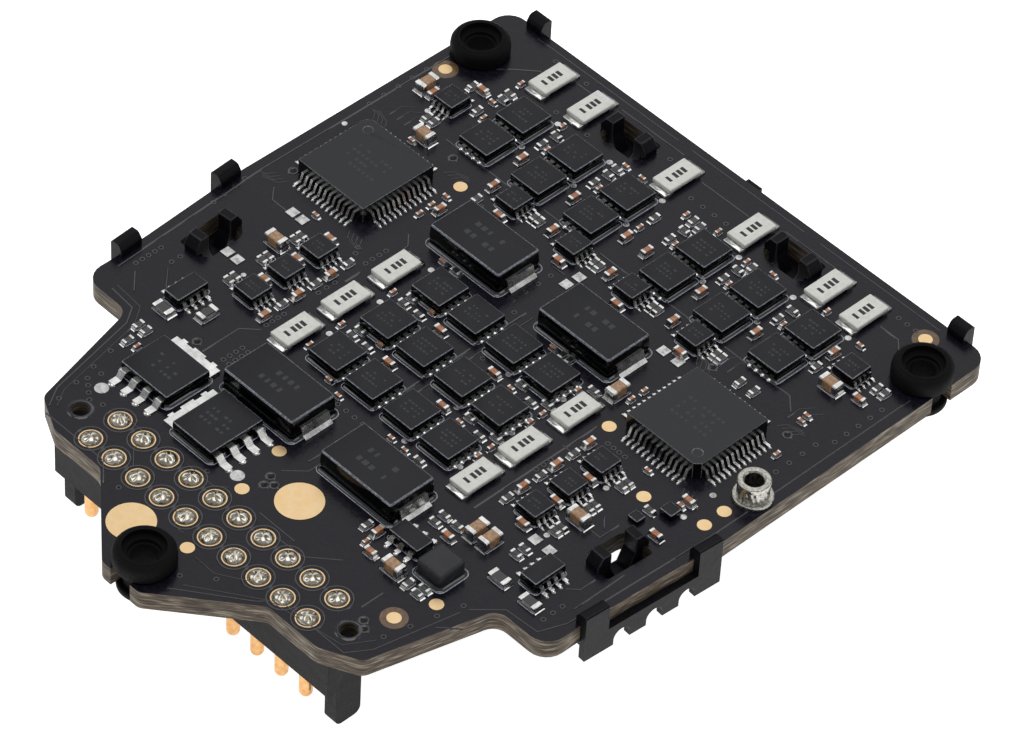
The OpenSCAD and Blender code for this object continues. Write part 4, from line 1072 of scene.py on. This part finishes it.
controllers = np.concatenate([islands("controller_left"), islands("controller_right")])
fields = [(fets, 3, 5, (0.34, 0.42)), (tops["gate_drivers"], 2, 4, (0.3, 0.4)),
          (tops["bulk_capacitors"], 2, 5, (0.62, 1.1)), (switches, 3, 6, (0.42, 0.6)),
          (controllers, 4, 8, (0.46, 0.62))]
blocks = [code_blocks(*field, seed) for seed, field in enumerate(fields, 1)]
make_piece("case_code_blocks", *joined(blocks), [mark_grey], slot="chip_plastic")

# %% [markdown]
# ## Soldered pins
#
# Every header pin ends in a solder dome in a gold ring. The dome has three creases from its top,
# where the solder drew back as it cooled. Its height is a half ellipse of the radius, lowered
# near three directions by a bump of the angle; brown flux fills the gap to the gold ring.

# %% Solder domes
def domes(centres, wide, high, around=30, steps=7):
    """z = high * sqrt(1 - r^2) * (1 - 0.62 * crease), crease = max over three directions of
    exp(-(angle / 0.3)^2), times sin(pi r)^0.6."""
    r = np.sin(np.linspace(math.pi / 2, 0.06, steps))[:, None]
    a = np.linspace(0, 2 * math.pi, around, endpoint=False)[None]
    lean = np.arange(len(centres))[:, None, None] * 1.1 + 0.5
    full = 2 * math.pi
    gap = [(a[None] - lean - k * full / 3 + math.pi) % full - math.pi for k in range(3)]
    crease = np.max([np.exp(-(g / 0.3) ** 2) for g in gap], axis=0)
    crease = crease * np.sin(math.pi * np.clip(r, 0, 1))[None] ** 0.6
    z = high * np.sqrt(np.maximum(1 - r[None] ** 2, 0)) * (1 - 0.62 * crease)
    x = centres[:, 0, None, None] + wide * r[None] * np.cos(a)[None] + 0 * z
    y = centres[:, 1, None, None] + wide * r[None] * np.sin(a)[None] + 0 * z + FAR / MM
    points = np.stack([x, y, z + 0.03 + TOP / MM], -1) * MM
    each = steps * around
    return points, [copies(grid_quads(steps, around, False, True), len(centres), each),
                    copies(np.arange(each - around, each)[None], len(centres), each),
                    copies(np.arange(around)[::-1][None], len(centres), each)]


dome_metal = finish("dome_solder", (176, 168, 152), (226, 221, 208), 0.14, 0.26, 2600, 0.4, 1.0)
flux = finish("brown_flux", (38, 28, 18), (92, 72, 48), 0.15, 0.35, 5000, 0.4, coat=0.8)
make_piece("pin_solder_domes", *domes(pins, 0.71, 0.42), [dome_metal], slot="solder",
           stands_for=["pin_solder"], sharp=80)
flux_ring = turned(pins, [(0.79, 0.028), (0.77, 0.04), (0.7, 0.05), (0.66, 0.028)], 28)
make_piece("pin_flux_rings", *flux_ring, [flux], slot="solder")

# %% [markdown]
# ## Grommets and threaded insert
#
# Both are turned shapes: a closed outline of (radius, height) carried round an upright axis. The
# grommet's outline has a fat round flange, a neck in the board's notch and a stepped bore. The
# insert adds a knurl to the radius, r + a cos(n angle + k height), which makes slanted flutes,
# and a thread inside, where the radius follows height / pitch - angle / full turn.

# %% Turned parts
def rounded_outline(corners, steps=5):
    """Each corner (radius, height, rounding) becomes an arc that touches both of its legs."""
    p = np.array(corners, float)
    made = []
    for before, here, after in zip(np.roll(p, 1, 0), p, np.roll(p, -1, 0)):
        u = (before[:2] - here[:2]) / np.linalg.norm(before[:2] - here[:2])
        v = (after[:2] - here[:2]) / np.linalg.norm(after[:2] - here[:2])
        half = math.acos(float(np.clip(u @ v, -1, 1))) / 2
        reach = here[2] / math.tan(half)
        t = np.linspace(0, 1, steps)[:, None]
        start, end = here[:2] + u * reach, here[:2] + v * reach
        made.append((1 - t) ** 2 * start + 2 * t * (1 - t) * here[:2] + t ** 2 * end)
    return np.concatenate(made)


for spot in ("far_left", "far_right", "nose"):
    node = "grommet_" + spot
    low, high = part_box(node)
    middle = [((low.x + high.x) / 2) / MM, ((low.y + high.y) / 2 - FAR) / MM]
    foot = low.z / MM - TOP / MM
    outline = rounded_outline([
        (2.0, foot, 0.2), (2.0, -1.6, 0.2), (1.55, -1.6, 0.05), (1.55, 0, 0.04), (2.3, 0.0, 0.34),
        (2.3, 1.5, 0.72), (1.66, 1.5, 0.16), (1.66, 0.92, 0.12), (1.2, 0.92, 0.08),
        (1.2, 0.62, 0.08), (1.0, 0.62, 0.06), (1.0, foot, 0.06)])
    make_piece(node + "_rubber", *turned([middle], outline, 64), [rubber], slot="grommet_rubber",
               stands_for=[node], sharp=70)

# %% [markdown]
# ## The knurl and the thread
#
# The insert is one closed surface of 120 steps along its outline and 128 round it. Flutes and
# thread are both changes of the radius: a slanted wave outside, a slanted zigzag inside.

# %% Threaded insert
low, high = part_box("threaded_insert")
rows, around = 60, 128
outline = rounded_outline([(1.5, 0, 0.05), (1.5, 0.35, 0.12), (1.2, 0.35, 0.03),
                           (1.2, 1.4, 0.02), (1.23, 1.4, 0.02), (1.23, 1.8, 0.14),
                           (0.82, 1.8, 0.1), (0.7, 1.68, 0.02), (0.7, 0, 0.02)], 4)
spots_along = np.linspace(0, len(outline), 2 * rows, endpoint=False)
whole, part = spots_along.astype(int), (spots_along % 1)[:, None]
outline = outline[whole] * (1 - part) + outline[(whole + 1) % len(outline)] * part
r, z = outline[:, :1], outline[:, 1:]
angle = np.linspace(0, 2 * math.pi, around, endpoint=False)[None]
knurled = (r > 1.1) & (r < 1.22) & (z > 0.35) & (z < 1.42)
threaded = (r < 0.75) & (z > 0.05) & (z < 1.66)
radius = r + knurled * 0.05 * (np.cos(18 * angle + 4.5 * z) - 1) \
    + threaded * 0.07 * np.abs(((z / 0.3 - angle / (2 * math.pi)) % 1) * 2 - 1)
cx, cy = (low.x + high.x) / 2, (low.y + high.y) / 2
points = np.stack([cx + radius * np.cos(angle) * MM, cy + radius * np.sin(angle) * MM,
                   low.z + (z + 0 * angle) * MM], -1)
make_piece("threaded_insert_knurled", points, [grid_quads(2 * rows, around, True, True)],
           [insert_steel], slot="insert_steel", stands_for=["threaded_insert"], sharp=40)

# %% Finish
bpy.context.view_layer.update()
